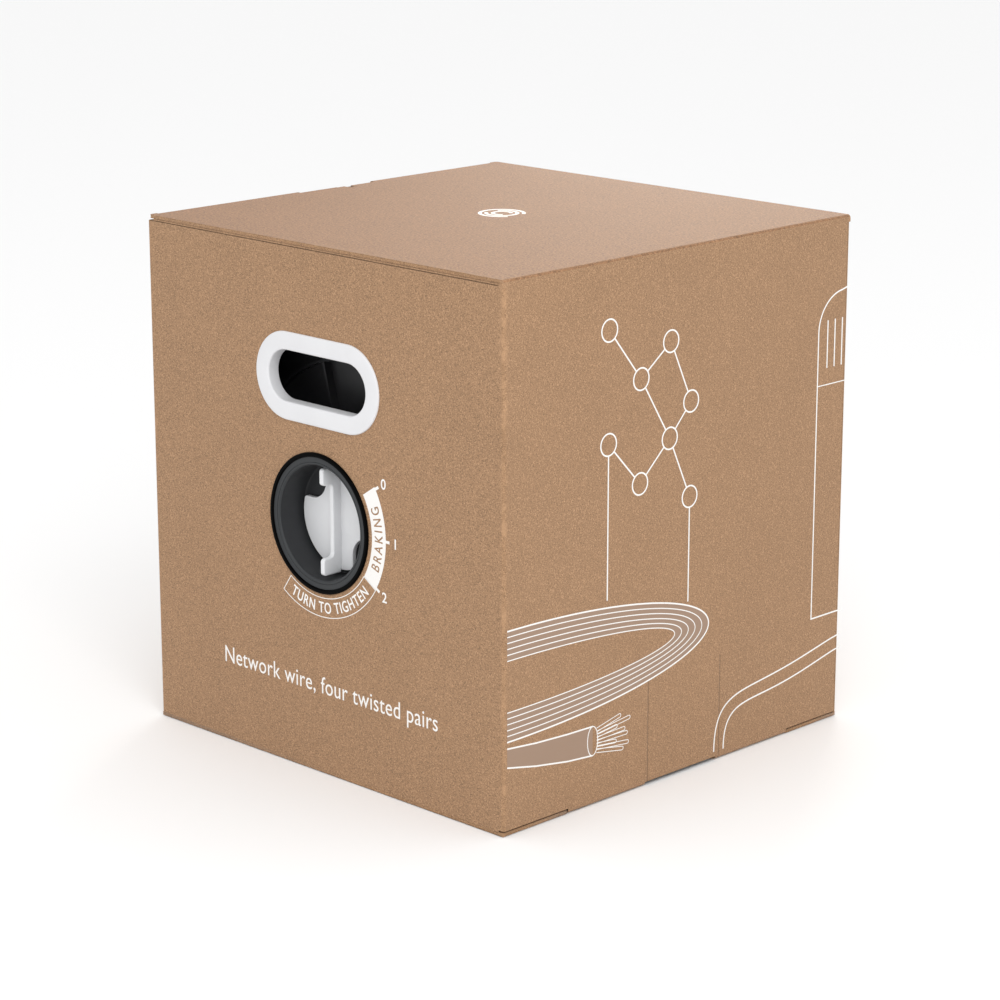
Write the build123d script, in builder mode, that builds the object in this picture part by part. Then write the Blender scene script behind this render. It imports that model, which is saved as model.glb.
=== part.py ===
"""Cable spool box: a folded kraft carton with a plastic reel of network cable turning inside it.

Millimetres, +Z up. The origin is the centre of the base. The front wall faces -Y and carries the
tension knob, the lid is hinged along the top of the right wall (+X), and the reel turns about Y.
Depths along the reel's axis are measured inwards from the outer face of the front wall.
"""

from build123d import *
from math import asin, degrees, pi, sqrt
import os

os.makedirs("parts", exist_ok=True)

# ---- Carton ----
WIDTH = 350.0
DEPTH = 344.0
HEIGHT = 368.0
BOARD = 2.4
FOLD_RADIUS = 2.0
WALL_TOP = HEIGHT - BOARD
WALL_FOOT = BOARD
FOLD_GAP = 0.5
NEST = 0.2
OVERCUT = 1.0
OVERLAP = 0.5
TOLERANCE = 0.01

TAB_FIRST = (61.0, 137.0)
TAB_SECOND = (210.0, 287.0)
NOTCH_DEPTH = 10.0
TAB_ROUND = 1.44
LOCK_TAB = (TAB_FIRST[1] + FOLD_GAP, 184.0)
LOCK_TAB_RISE = 0.9
LID_NOTCH = 7.8
LID_INSET = 1.8
LID_CORNER = 5.0
LINER_FOOT = 2 * BOARD + NEST
BASE_INSET = (0.9, 0.0)
BASE_CORNER = 3.0
BOTTOM_FLAP_REACH = 112.0
BOTTOM_FLAP_TAPER = 12.0
GLUE_FLAP_WIDTH = 35.0
GLUE_FLAP_SHORT = 10.0
MITRE = 1.0
INNER_MITRE = 2 * BOARD

TUCK_DEPTH = 50.0
TUCK_WIDTH = 330.0
TUCK_LEAN = 5.5
TUCK_CORNER = 14.0
TUCK_GAP = 0.4
TUCK_FOLD_X = -(WIDTH / 2 - 2 * BOARD - TUCK_GAP)

# ---- Hand-holds ----
HANDLE_Z = 275.5
HANDLE_OUTER = (122.0, 61.0)
HANDLE_OPENING = (96.0, 35.5)
HANDLE_SLEEVE = (102.0, 41.5)
HANDLE_PROUD = 1.4
HANDLE_SLEEVE_DEPTH = 8.2
HANDLE_BACKING = (118.0, 57.0)
HANDLE_BACKING_THICK = 2.4
HANDLE_OUTER_ROUND = 0.9
HANDLE_INNER_ROUND = 1.0
FIT_GAP = 0.05
BOARD_HOLE_GAP = 1.0

# ---- Cable outlet in the left wall ----
OUTLET_Z = 70.0
OUTLET_BORE = 12.5
OUTLET_SLEEVE = 15.8
OUTLET_FLANGE = 22.0
OUTLET_PROUD = 1.8
OUTLET_REACH = 6.4
OUTLET_RING_THICK = 2.4
OUTLET_CHAMFER = 0.8
OUTLET_FLANGE_CHAMFER = 1.2
OUTLET_RING_SHRINK = (1.5, 0.5)

# ---- Reel axis, bezel cup and rear cup ----
AXIS_Z = 178.0
CUP_OUTER = 43.5
CUP_INNER = 40.0
CUP_HOLE = 44.0
CUP_END = 50.0
RECESS_FLOOR = 22.0
FLOOR_THICK = 3.0
BEZEL_OUTER = 49.0
BEZEL_FACE = 46.2
BEZEL_PROUD = 1.8
BEZEL_FACE_PROUD = 0.6
BEZEL_CHAMFER = 1.1
MOUTH_CHAMFER = 1.1
CUP_DRAFT = 0.5
LOCK_RING_OUTER = 56.0
LOCK_RING_THICK = 5.0
LOCK_RING_NOTCHES = 12
LOCK_RING_NOTCH = (4.0, 7.0)
KEYWAY_DEPTH = 1.7
KEYWAY_WIDTH = 6.0
KEYWAY_START = 28.0
KEY_GAP = (0.5, 0.8)
REAR_RIB_START = 10.0
REAR_RIB_THICK = 2.4
REAR_RIB_COUNT = 6
REAR_RIB_REACH = 39.45
REAR_BOSS = 10.0

# ---- Tension mechanism ----
KNOB_RADIUS = 36.0
KNOB_FACE = 18.0
KNOB_THICK = 3.5
KNOB_NOTCH = (13.0, 10.0)
KNOB_NOTCH_RADIUS = 14.0
KNOB_CORNER = 2.5
KNOB_RIM_STEP = 0.6
GRIP_SINK = 1.0
GRIP_THICK = 4.0
GRIP_ROUND = 0.9
GRIP_RISE = 7.0
HORN_RISE = 16.0
HORN_SPAN = (25.5, 37.5)
SPIGOT_RADIUS = 9.0
CAM_RADIUS = 20.0
CAM_START = 25.3
CAM_THICK = 4.0
CAM_TRAVEL_PER_RADIAN = 2.0
RAMP_RADIUS = 15.0
RAMP_WIDTH = 4.0
RAMP_HEIGHT = 4.0
RAMP_TOP = 31.3
RAMP_COUNT = 3
RAMP_SPARE = 3.0
KNOB_SWING = 31.5
PEG_RADIUS = 1.8
PEG_GAP = 0.3
PLATE_START = 35.0
PLATE_THICK = 3.0
PLATE_RADIUS = 39.3
PLATE_HOLE = 10.0
BOSS_RADIUS = 30.0
BOSS_END = 47.0
BOSS_HOLE = 12.0
PAD_INNER = 14.0
PAD_END = 50.9
PAD_GROOVE_WIDTH = 1.6
PAD_GROOVE_DEPTH = 1.2
PAD_GROOVE_COUNT = 6
RETAINER_START = 46.0
RETAINER_THICK = 1.6
RETAINER_INNER = 31.6
SPRING_RADIUS = 35.0
SPRING_WIRE = 1.6
SPRING_TURNS = 2.25
SPRING_GAP = 0.1
SCREW_SHANK = 2.0
SCREW_HEAD = 4.6
SCREW_HEAD_THICK = 2.2
SCREW_REACH = 9.0
SCREW_SLOT = (5.0, 0.9)
SCREW_SLOT_DEPTH = 1.2
SCREW_CHAMFER = 0.8
WASHER_BORE = 2.2
WASHER_RADIUS = 7.0
WASHER_THICK = 0.8

# ---- Reel ----
REEL_CHAMFER = 0.8
FLANGE_RADIUS = 163.0
FLANGE_RIM = 4.0
RIB_TOP = 30.0
PLATE_OUTSIDE = 36.0
PLATE_INSIDE = 38.6
RIB_THICK = 2.0
RIB_COUNT = 12
RIB_START_ANGLE = 15.0
RING_RIB_RADIUS = 108.0
RING_RIB_TOP = 31.5
HUB_BORE = 46.5
HUB_RADIUS = 54.0
HUB_START = 12.6
JOURNAL_GAP = 0.06
BUSH_BORE = CUP_OUTER + JOURNAL_GAP
BUSH_HEAD_RADIUS = 50.0
BUSH_HEAD_START = 10.6
BUSH_END = 47.0
DRUM_INNER = 62.0
DRUM_OUTER = 65.0
PACK_RADIUS = 133.0
PACK_GAP = 0.2
DISC_START = 52.4
DISC_THICK = 3.0
DISC_RADIUS = 61.8
DISC_HOLE = 12.0
BOLT_CIRCLE = 58.6
BOLT_COUNT = 4
BOLT_RADIUS = 2.5
BOLT_HOLE = 2.6
BOLT_BOSS = 5.5
BOLT_SEAT = 33.0
BOLT_START_ANGLE = 0.0
BOLT_HEAD_RADIUS = 4.4
BOLT_HEAD_THICK = 2.6
BOLT_HEAD_ROUND = 1.0
BOLT_SOCKET = 2.2
BOLT_SOCKET_DEPTH = 1.4

REEL_AXIS = Axis((0, 0, AXIS_Z), (0, 1, 0))


def inward(depth):
    """Y of a point at this depth behind the outer face of the front wall."""
    return depth - DEPTH / 2


def front_plane(depth):
    """A plane across the reel's axis at this depth: local x is +X, local y is +Z, normal -Y."""
    return Plane.XZ.offset(DEPTH / 2 - depth)


def spin(points):
    """Revolve a closed outline of (depth, radius) points about the reel's axis."""
    with BuildSketch(Plane.YZ) as profile:
        with BuildLine():
            Polyline([(inward(depth), AXIS_Z + radius) for depth, radius in points], close=True)
        make_face()
    revolve(profile.sketch, axis=REEL_AXIS)


def tube(start, end, inner, outer):
    """A plain ring about the reel's axis between two depths."""
    spin([(start, inner), (end, inner), (end, outer), (start, outer)])


def wall(corners):
    """One wall, standing on the base: the folded ring of board, kept inside its mitre outline."""
    with BuildSketch(Plane.XY.offset(WALL_FOOT)) as section:
        RectangleRounded(WIDTH, DEPTH, FOLD_RADIUS)
        Rectangle(WIDTH - 2 * BOARD, DEPTH - 2 * BOARD, mode=Mode.SUBTRACT)
        with BuildLine():
            Polyline(corners, close=True)
        make_face(mode=Mode.INTERSECT)
    extrude(section.sketch, amount=WALL_TOP - WALL_FOOT)


def hub_and_handle_holes(through):
    """Cut the hub hole and the hand-hold out of a front board, over the given depth range."""
    start, end = through
    with BuildSketch(front_plane(start)) as holes:
        with Locations((0, AXIS_Z)):
            Circle(CUP_HOLE)
        with Locations((0, HANDLE_Z)):
            SlotOverall(HANDLE_SLEEVE[0] + BOARD_HOLE_GAP, HANDLE_SLEEVE[1] + BOARD_HOLE_GAP)
    extrude(holes.sketch, amount=-(end - start), mode=Mode.SUBTRACT)


def finish(builder, name):
    """Label a finished piece and write its STEP file."""
    builder.part.label = name
    export_step(builder.part, f"parts/{name}.step")


def mirrored(front_builder, name):
    """The rear twin of a front piece, mirrored across the middle of the carton."""
    with BuildPart() as rear:
        mirror(objects=[front_builder.part], about=Plane.XZ)
    finish(rear, name)
    return rear


def along_side(distance):
    """Y of a point on a side wall, from its distance to the wall's front corner."""
    return distance - DEPTH / 2


half_w, half_d = WIDTH / 2, DEPTH / 2

# ---- Carton walls ----
with BuildPart() as front_panel:
    wall([
        (-half_w - MITRE, -half_d - MITRE),
        (half_w + MITRE, -half_d - MITRE),
        (half_w - INNER_MITRE, -half_d + INNER_MITRE),
        (-half_w + INNER_MITRE, -half_d + INNER_MITRE),
    ])
    hub_and_handle_holes((-OVERCUT, BOARD + OVERCUT))
finish(front_panel, "front_panel")
mirrored(front_panel, "rear_panel")

with BuildPart() as front_liner:
    with BuildSketch(front_plane(BOARD)):
        with Locations((0, (LINER_FOOT + WALL_TOP) / 2)):
            Rectangle(WIDTH - 2 * BOARD - 2 * NEST, WALL_TOP - LINER_FOOT)
    extrude(amount=-BOARD)
    hub_and_handle_holes((BOARD - OVERCUT, 2 * BOARD + OVERCUT))
finish(front_liner, "front_liner")
mirrored(front_liner, "rear_liner")

with BuildPart() as left_panel:
    wall([
        (-half_w - MITRE, half_d + MITRE),
        (-half_w - MITRE, -half_d - MITRE),
        (-half_w + INNER_MITRE, -half_d + INNER_MITRE),
        (-half_w + INNER_MITRE, half_d - INNER_MITRE),
    ])
    # The lock tab stands up through the notch in the lid's edge.
    tab_start, tab_end = LOCK_TAB
    with BuildSketch(Plane.XY.offset(WALL_TOP)):
        with Locations((-half_w + BOARD / 2, along_side((tab_start + tab_end) / 2))):
            Rectangle(BOARD, tab_end - tab_start)
    extrude(amount=LOCK_TAB_RISE)
    with BuildSketch(Plane.YZ.offset(-half_w - OVERCUT)):
        with Locations((0, OUTLET_Z)):
            Circle(OUTLET_SLEEVE + BOARD_HOLE_GAP / 2)
    extrude(amount=BOARD + 2 * OVERCUT, mode=Mode.SUBTRACT)
finish(left_panel, "left_panel")

with BuildPart() as right_panel:
    wall([
        (half_w + MITRE, -half_d - MITRE),
        (half_w + MITRE, half_d + MITRE),
        (half_w - INNER_MITRE, half_d - INNER_MITRE),
        (half_w - INNER_MITRE, -half_d + INNER_MITRE),
    ])
    # The wall turns under the box at two folds; between them its foot is cut free.
    with BuildSketch(Plane.XY):
        for start, end in (TAB_FIRST, TAB_SECOND):
            with Locations((half_w - BOARD / 2, along_side((start + end) / 2))):
                Rectangle(BOARD, end - start)
    extrude(amount=WALL_FOOT)
    fillet(
        right_panel.edges()
        .filter_by(Axis.Y)
        .filter_by(lambda edge: edge.center().Z < TOLERANCE and edge.center().X > half_w - TOLERANCE),
        radius=TAB_ROUND,
    )
finish(right_panel, "right_panel")

with BuildPart() as glue_flap:
    with BuildSketch(Plane.XY.offset(2 * BOARD + NEST)):
        with Locations((half_w - 1.5 * BOARD, half_d - 2 * BOARD - NEST - GLUE_FLAP_WIDTH / 2)):
            Rectangle(BOARD, GLUE_FLAP_WIDTH)
    extrude(amount=WALL_TOP - 2 * BOARD - GLUE_FLAP_SHORT)
finish(glue_flap, "glue_flap")

# ---- Carton base ----
with BuildPart() as bottom_panel:
    with BuildSketch(Plane.XY):
        RectangleRounded(WIDTH - 2 * BASE_INSET[0], DEPTH - 2 * BASE_INSET[1], BASE_CORNER)
        for start, end in (TAB_FIRST, TAB_SECOND):
            with Locations((half_w, along_side((start + end) / 2))):
                Rectangle(2 * (BOARD + FOLD_GAP), end - start + 2 * FOLD_GAP, mode=Mode.SUBTRACT)
        with Locations((half_w, along_side((TAB_FIRST[1] + TAB_SECOND[0]) / 2))):
            Rectangle(2 * NOTCH_DEPTH, TAB_SECOND[0] - TAB_FIRST[1], mode=Mode.SUBTRACT)
    extrude(amount=BOARD)
finish(bottom_panel, "bottom_panel")

with BuildPart() as bottom_flap_front:
    flap_front = -half_d + BOARD + NEST
    with BuildSketch(Plane.XY.offset(BOARD)):
        with BuildLine():
            Polyline(
                (-half_w + BOARD + NEST, flap_front),
                (half_w - BOARD - NEST, flap_front),
                (half_w - BOARD - BOTTOM_FLAP_TAPER, flap_front + BOTTOM_FLAP_REACH),
                (-half_w + BOARD + BOTTOM_FLAP_TAPER, flap_front + BOTTOM_FLAP_REACH),
                close=True,
            )
        make_face()
    extrude(amount=BOARD)
finish(bottom_flap_front, "bottom_flap_front")
mirrored(bottom_flap_front, "bottom_flap_rear")

# ---- Lid and its tuck flap ----
with BuildPart() as lid_panel:
    lid_left = -half_w + LID_INSET
    with BuildSketch(Plane.XY.offset(WALL_TOP)):
        with Locations(((lid_left + half_w) / 2, 0)):
            lid_outline = Rectangle(half_w - lid_left, DEPTH - 2 * NEST)
        fillet(lid_outline.vertices().group_by(Axis.X)[0], LID_CORNER)
        with Locations((-half_w, along_side((TAB_FIRST[1] + TAB_SECOND[0]) / 2))):
            Rectangle(2 * LID_NOTCH, TAB_SECOND[0] - TAB_FIRST[1], mode=Mode.SUBTRACT)
    extrude(amount=BOARD)
    fillet(lid_panel.edges().filter_by(Axis.Y).group_by(Axis.Z)[-1].sort_by(Axis.X)[-1], FOLD_RADIUS)
finish(lid_panel, "lid_panel")

with BuildPart() as tuck_flap:
    # The flap hangs from its fold line and leans inwards, so it clears the wall as the lid lifts.
    flap_plane = Plane(
        origin=(TUCK_FOLD_X, 0, WALL_TOP),
        x_dir=(0, 1, 0),
        z_dir=Vector(-1, 0, 0).rotate(Axis.Y, -TUCK_LEAN),
    )
    with BuildSketch(flap_plane):
        with Locations((0, TUCK_DEPTH / 2)):
            flap_outline = Rectangle(TUCK_WIDTH, TUCK_DEPTH)
        fillet(flap_outline.vertices().group_by(Axis.Y)[-1], TUCK_CORNER)
        with Locations((along_side((TAB_FIRST[1] + TAB_SECOND[0]) / 2), 0)):
            Rectangle(TAB_SECOND[0] - TAB_FIRST[1], 2 * NOTCH_DEPTH, mode=Mode.SUBTRACT)
    extrude(amount=BOARD)
finish(tuck_flap, "tuck_flap")

# ---- Hand-hold grommets ----
with BuildPart() as handle_grommet:
    with BuildSketch(front_plane(-HANDLE_PROUD)):
        with Locations((0, HANDLE_Z)):
            SlotOverall(*HANDLE_OUTER)
    extrude(amount=-HANDLE_PROUD)
    with BuildSketch(front_plane(0)):
        with Locations((0, HANDLE_Z)):
            SlotOverall(*HANDLE_SLEEVE)
    extrude(amount=-HANDLE_SLEEVE_DEPTH)
    fillet(handle_grommet.faces().sort_by(Axis.Y)[0].outer_wire().edges(), HANDLE_OUTER_ROUND)
    with BuildSketch(front_plane(-HANDLE_PROUD)):
        with Locations((0, HANDLE_Z)):
            SlotOverall(*HANDLE_OPENING)
    extrude(amount=-(HANDLE_SLEEVE_DEPTH + HANDLE_PROUD), mode=Mode.SUBTRACT)
    fillet(handle_grommet.faces().sort_by(Axis.Y)[0].inner_wires()[0].edges(), HANDLE_INNER_ROUND)
finish(handle_grommet, "front_handle_grommet")
mirrored(handle_grommet, "rear_handle_grommet")

with BuildPart() as handle_backing:
    with BuildSketch(front_plane(2 * BOARD)):
        with Locations((0, HANDLE_Z)):
            SlotOverall(*HANDLE_BACKING)
            SlotOverall(
                HANDLE_SLEEVE[0] + 2 * FIT_GAP, HANDLE_SLEEVE[1] + 2 * FIT_GAP, mode=Mode.SUBTRACT
            )
    extrude(amount=-HANDLE_BACKING_THICK)
    fillet(handle_backing.faces().sort_by(Axis.Y)[-1].outer_wire().edges(), HANDLE_OUTER_ROUND)
finish(handle_backing, "front_handle_backing")
mirrored(handle_backing, "rear_handle_backing")

# ---- Cable outlet ----
OUTLET_AXIS = Axis((0, 0, OUTLET_Z), (1, 0, 0))


def outlet_outline(points):
    """Revolve (x, radius) points about the outlet's axis."""
    with BuildSketch(Plane.XZ) as profile:
        with BuildLine():
            Polyline([(x, OUTLET_Z + radius) for x, radius in points], close=True)
        make_face()
    revolve(profile.sketch, axis=OUTLET_AXIS)


with BuildPart() as cable_outlet_grommet:
    face_x = -half_w - OUTLET_PROUD
    tail_x = -half_w + OUTLET_REACH
    outlet_outline([
        (face_x + OUTLET_CHAMFER, OUTLET_BORE),
        (face_x, OUTLET_BORE + OUTLET_CHAMFER),
        (face_x, OUTLET_FLANGE - OUTLET_FLANGE_CHAMFER),
        (face_x + OUTLET_FLANGE_CHAMFER, OUTLET_FLANGE),
        (-half_w, OUTLET_FLANGE),
        (-half_w, OUTLET_SLEEVE),
        (tail_x, OUTLET_SLEEVE),
        (tail_x, OUTLET_BORE + OUTLET_CHAMFER),
        (tail_x - OUTLET_CHAMFER, OUTLET_BORE),
    ])
finish(cable_outlet_grommet, "cable_outlet_grommet")

with BuildPart() as cable_outlet_ring:
    ring_x = -half_w + BOARD
    outlet_outline([
        (ring_x, OUTLET_SLEEVE + FIT_GAP),
        (ring_x + OUTLET_RING_THICK, OUTLET_SLEEVE + FIT_GAP),
        (ring_x + OUTLET_RING_THICK, OUTLET_FLANGE - OUTLET_RING_SHRINK[0]),
        (ring_x, OUTLET_FLANGE - OUTLET_RING_SHRINK[1]),
    ])
finish(cable_outlet_ring, "cable_outlet_ring")

# ---- Hub cups: rim, recess and the journal that the reel turns on ----
def hub_cup(floor_hole):
    """Revolve a cup whose floor has a centre hole of this radius, or none at 0."""
    floor_back = RECESS_FLOOR + FLOOR_THICK
    spin([
        (RECESS_FLOOR, floor_hole),
        (RECESS_FLOOR, CUP_INNER - CUP_DRAFT),
        (-BEZEL_FACE_PROUD + MOUTH_CHAMFER, CUP_INNER),
        (-BEZEL_FACE_PROUD, CUP_INNER + MOUTH_CHAMFER),
        (-BEZEL_FACE_PROUD, BEZEL_FACE),
        (-BEZEL_PROUD, BEZEL_FACE + CUP_DRAFT),
        (-BEZEL_PROUD, BEZEL_OUTER - BEZEL_CHAMFER),
        (-BEZEL_PROUD + BEZEL_CHAMFER, BEZEL_OUTER),
        (0, BEZEL_OUTER),
        (0, CUP_OUTER),
        (CUP_END, CUP_OUTER),
        (CUP_END, CUP_INNER),
        (floor_back, CUP_INNER),
        (floor_back, floor_hole),
    ])


with BuildPart() as tension_bezel:
    hub_cup(SPIGOT_RADIUS + FIT_GAP)
    # Two keyways in the journal's bore stop the pressure plate from turning.
    with BuildSketch(front_plane(KEYWAY_START)):
        with Locations((0, AXIS_Z)):
            Rectangle(2 * (CUP_INNER + KEYWAY_DEPTH), KEYWAY_WIDTH)
            Circle(CUP_INNER - OVERCUT, mode=Mode.SUBTRACT)
    extrude(amount=-(CUP_END - KEYWAY_START), mode=Mode.SUBTRACT)
finish(tension_bezel, "tension_bezel")

with BuildPart() as lock_ring:
    tube(2 * BOARD, 2 * BOARD + LOCK_RING_THICK, CUP_OUTER, LOCK_RING_OUTER)
    with BuildSketch(front_plane(2 * BOARD)):
        with Locations((0, AXIS_Z)):
            with PolarLocations(LOCK_RING_OUTER, LOCK_RING_NOTCHES):
                Rectangle(*LOCK_RING_NOTCH)
    extrude(amount=-LOCK_RING_THICK, mode=Mode.SUBTRACT)
finish(lock_ring, "front_lock_ring")
mirrored(lock_ring, "rear_lock_ring")

with BuildPart() as plain_cup:
    hub_cup(0)
mirrored(plain_cup, "rear_hub_cup")

with BuildPart() as plain_webs:
    # The rear cup has no knob: ribs round a boss stiffen its blind recess.
    with BuildSketch(front_plane(REAR_RIB_START)):
        with Locations((0, AXIS_Z)):
            Circle(REAR_BOSS)
            with PolarLocations((REAR_BOSS + REAR_RIB_REACH) / 2, REAR_RIB_COUNT):
                Rectangle(REAR_RIB_REACH - REAR_BOSS, REAR_RIB_THICK)
    extrude(amount=-(RECESS_FLOOR - REAR_RIB_START))
mirrored(plain_webs, "rear_cup_webs")

# ---- Tension knob ----
with BuildPart() as tension_knob:
    disc_back = KNOB_FACE + KNOB_THICK
    with BuildSketch(front_plane(KNOB_FACE)) as disc_outline:
        with Locations((0, AXIS_Z)):
            Circle(KNOB_RADIUS)
        # One finger notch in the upper left quarter, and its twin in the lower right.
        for side in (-1, 1):
            corner = (side * KNOB_NOTCH[0], AXIS_Z - side * KNOB_NOTCH[1])
            reach = side * KNOB_RADIUS
            with BuildLine():
                Polyline(
                    corner,
                    (corner[0] + reach, corner[1]),
                    (corner[0] + reach, corner[1] - reach),
                    (corner[0], corner[1] - reach),
                    close=True,
                )
            make_face(mode=Mode.SUBTRACT)
        inner_corners = [
            vertex
            for vertex in disc_outline.vertices()
            if abs(abs(vertex.X) - KNOB_NOTCH[0]) < TOLERANCE
            and abs(abs(vertex.Y - AXIS_Z) - KNOB_NOTCH[1]) < TOLERANCE
        ]
        fillet(inner_corners, KNOB_NOTCH_RADIUS)
        rim_corners = [
            vertex
            for vertex in disc_outline.vertices()
            if abs(Vector(vertex.X, vertex.Y - AXIS_Z).length - KNOB_RADIUS) < TOLERANCE
        ]
        fillet(rim_corners, KNOB_CORNER)
    extrude(amount=-KNOB_THICK)
    # The grip is a thin bar across the disc with a taller horn at each end.
    grip_top = inward(KNOB_FACE - GRIP_RISE)
    horn_top = inward(KNOB_FACE - HORN_RISE)
    grip_foot = inward(KNOB_FACE + GRIP_SINK)
    grip_reach = KNOB_RADIUS - KNOB_RIM_STEP
    horn_inner, horn_outer = HORN_SPAN
    with BuildSketch(Plane.YZ.offset(-GRIP_THICK / 2)) as grip_outline:
        with BuildLine():
            Polyline(
                (grip_foot, AXIS_Z - grip_reach),
                (inward(KNOB_FACE), AXIS_Z - grip_reach),
                (inward(KNOB_FACE), AXIS_Z - horn_outer),
                (horn_top, AXIS_Z - horn_outer),
                (horn_top, AXIS_Z - horn_inner),
                (grip_top, AXIS_Z - horn_inner),
                (grip_top, AXIS_Z + horn_inner),
                (horn_top, AXIS_Z + horn_inner),
                (horn_top, AXIS_Z + horn_outer),
                (inward(KNOB_FACE), AXIS_Z + horn_outer),
                (inward(KNOB_FACE), AXIS_Z + grip_reach),
                (grip_foot, AXIS_Z + grip_reach),
                close=True,
            )
        make_face()
        horn_points = grip_outline.vertices().filter_by(lambda v: v.X < grip_top + TOLERANCE)
        fillet(horn_points, KNOB_CORNER)
    extrude(amount=GRIP_THICK)
    fillet(
        tension_knob.edges().filter_by(
            lambda e: e.center().Y < inward(KNOB_FACE) - OVERLAP
            and abs(abs(e.center().X) - GRIP_THICK / 2) < TOLERANCE
        ),
        GRIP_ROUND,
    )
    spin([
        (disc_back - OVERLAP, 0),
        (CAM_START + CAM_THICK, 0),
        (CAM_START + CAM_THICK, SPIGOT_RADIUS),
        (disc_back - OVERLAP, SPIGOT_RADIUS),
    ])
    with BuildSketch(front_plane(CAM_START + CAM_THICK)):
        with Locations((0, AXIS_Z)):
            Circle(SCREW_SHANK)
    extrude(amount=SCREW_REACH, mode=Mode.SUBTRACT)
finish(tension_knob, "tension_knob")

# ---- Cam on the knob's spigot: helical ramps that push the pressure plate ----
RAMP_LEAD = 2 * pi * CAM_TRAVEL_PER_RADIAN
RAMP_ARC = 2 * (KNOB_SWING + degrees(asin(PEG_RADIUS / RAMP_RADIUS)) + RAMP_SPARE)
RAMP_CLIMB = RAMP_LEAD * RAMP_ARC / 360

ramp_path = Helix(
    pitch=RAMP_LEAD,
    height=RAMP_CLIMB,
    radius=RAMP_RADIUS,
    center=(0, inward(RAMP_TOP - RAMP_HEIGHT / 2) - RAMP_CLIMB / 2, AXIS_Z),
    direction=(0, 1, 0),
    lefthand=True,
)
ramp_middle = ramp_path @ 0.5
PEG_ANGLE = Vector(0, 0, 1).get_signed_angle(
    Vector(ramp_middle.X, 0, ramp_middle.Z - AXIS_Z), Vector(0, 1, 0)
)
with BuildPart() as ramp_bar:
    with BuildSketch(Plane(origin=ramp_path @ 0, x_dir=(0, 1, 0), z_dir=ramp_path % 0)):
        Rectangle(RAMP_HEIGHT, RAMP_WIDTH)
    sweep(path=ramp_path, is_frenet=True)

with BuildPart() as tension_cam:
    tube(CAM_START, CAM_START + CAM_THICK, SPIGOT_RADIUS, CAM_RADIUS)
    for step in range(RAMP_COUNT):
        add(ramp_bar.part.rotate(REEL_AXIS, step * 360 / RAMP_COUNT))
finish(tension_cam, "tension_cam")

with BuildPart() as knob_washer:
    washer_start = CAM_START + CAM_THICK
    tube(washer_start, washer_start + WASHER_THICK, WASHER_BORE, WASHER_RADIUS)
finish(knob_washer, "knob_washer")

with BuildPart() as knob_screw:
    head_start = CAM_START + CAM_THICK + WASHER_THICK
    spin([
        (head_start - SCREW_REACH, 0),
        (head_start + SCREW_HEAD_THICK, 0),
        (head_start + SCREW_HEAD_THICK, SCREW_HEAD - SCREW_CHAMFER),
        (head_start + SCREW_HEAD_THICK - SCREW_CHAMFER, SCREW_HEAD),
        (head_start, SCREW_HEAD),
        (head_start, SCREW_SHANK),
        (head_start - SCREW_REACH, SCREW_SHANK),
    ])
    with BuildSketch(front_plane(head_start + SCREW_HEAD_THICK)):
        with Locations((0, AXIS_Z)):
            Rectangle(*SCREW_SLOT)
            Rectangle(*reversed(SCREW_SLOT))
    extrude(amount=SCREW_SLOT_DEPTH, mode=Mode.SUBTRACT)
finish(knob_screw, "knob_screw")

# ---- Pressure plate, pad, return spring and its retainer ----
with BuildPart() as pressure_plate:
    plate_back = PLATE_START + PLATE_THICK
    tube(PLATE_START, plate_back, PLATE_HOLE, PLATE_RADIUS)
    tube(plate_back, BOSS_END, BOSS_HOLE, BOSS_RADIUS)
    with BuildSketch(front_plane(PLATE_START)):
        with Locations((0, AXIS_Z)):
            Rectangle(2 * (CUP_INNER + KEYWAY_DEPTH - KEY_GAP[0]), KEYWAY_WIDTH - KEY_GAP[1])
            Circle(PLATE_RADIUS - OVERCUT, mode=Mode.SUBTRACT)
    extrude(amount=-PLATE_THICK)
    peg_tip = RAMP_TOP + PEG_GAP
    for step in range(RAMP_COUNT):
        peg_turn = Vector(0, 0, RAMP_RADIUS).rotate(Axis.Y, PEG_ANGLE + step * 360 / RAMP_COUNT)
        with BuildSketch(front_plane(peg_tip + PEG_RADIUS)):
            with Locations((peg_turn.X, AXIS_Z + peg_turn.Z)):
                Circle(PEG_RADIUS)
        extrude(amount=-(PLATE_START + OVERLAP - peg_tip - PEG_RADIUS))
        with Locations((peg_turn.X, inward(peg_tip + PEG_RADIUS), AXIS_Z + peg_turn.Z)):
            Sphere(PEG_RADIUS)
finish(pressure_plate, "pressure_plate")

with BuildPart() as brake_pad:
    tube(BOSS_END, PAD_END, PAD_INNER, BOSS_RADIUS)
    with BuildSketch(front_plane(PAD_END)):
        with Locations((0, AXIS_Z)):
            with PolarLocations((PAD_INNER + BOSS_RADIUS) / 2, PAD_GROOVE_COUNT):
                Rectangle(BOSS_RADIUS, PAD_GROOVE_WIDTH)
    extrude(amount=PAD_GROOVE_DEPTH, mode=Mode.SUBTRACT)
finish(brake_pad, "brake_pad")

with BuildPart() as spring_retainer:
    tube(RETAINER_START, RETAINER_START + RETAINER_THICK, RETAINER_INNER, CUP_INNER)
finish(spring_retainer, "spring_retainer")

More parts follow.
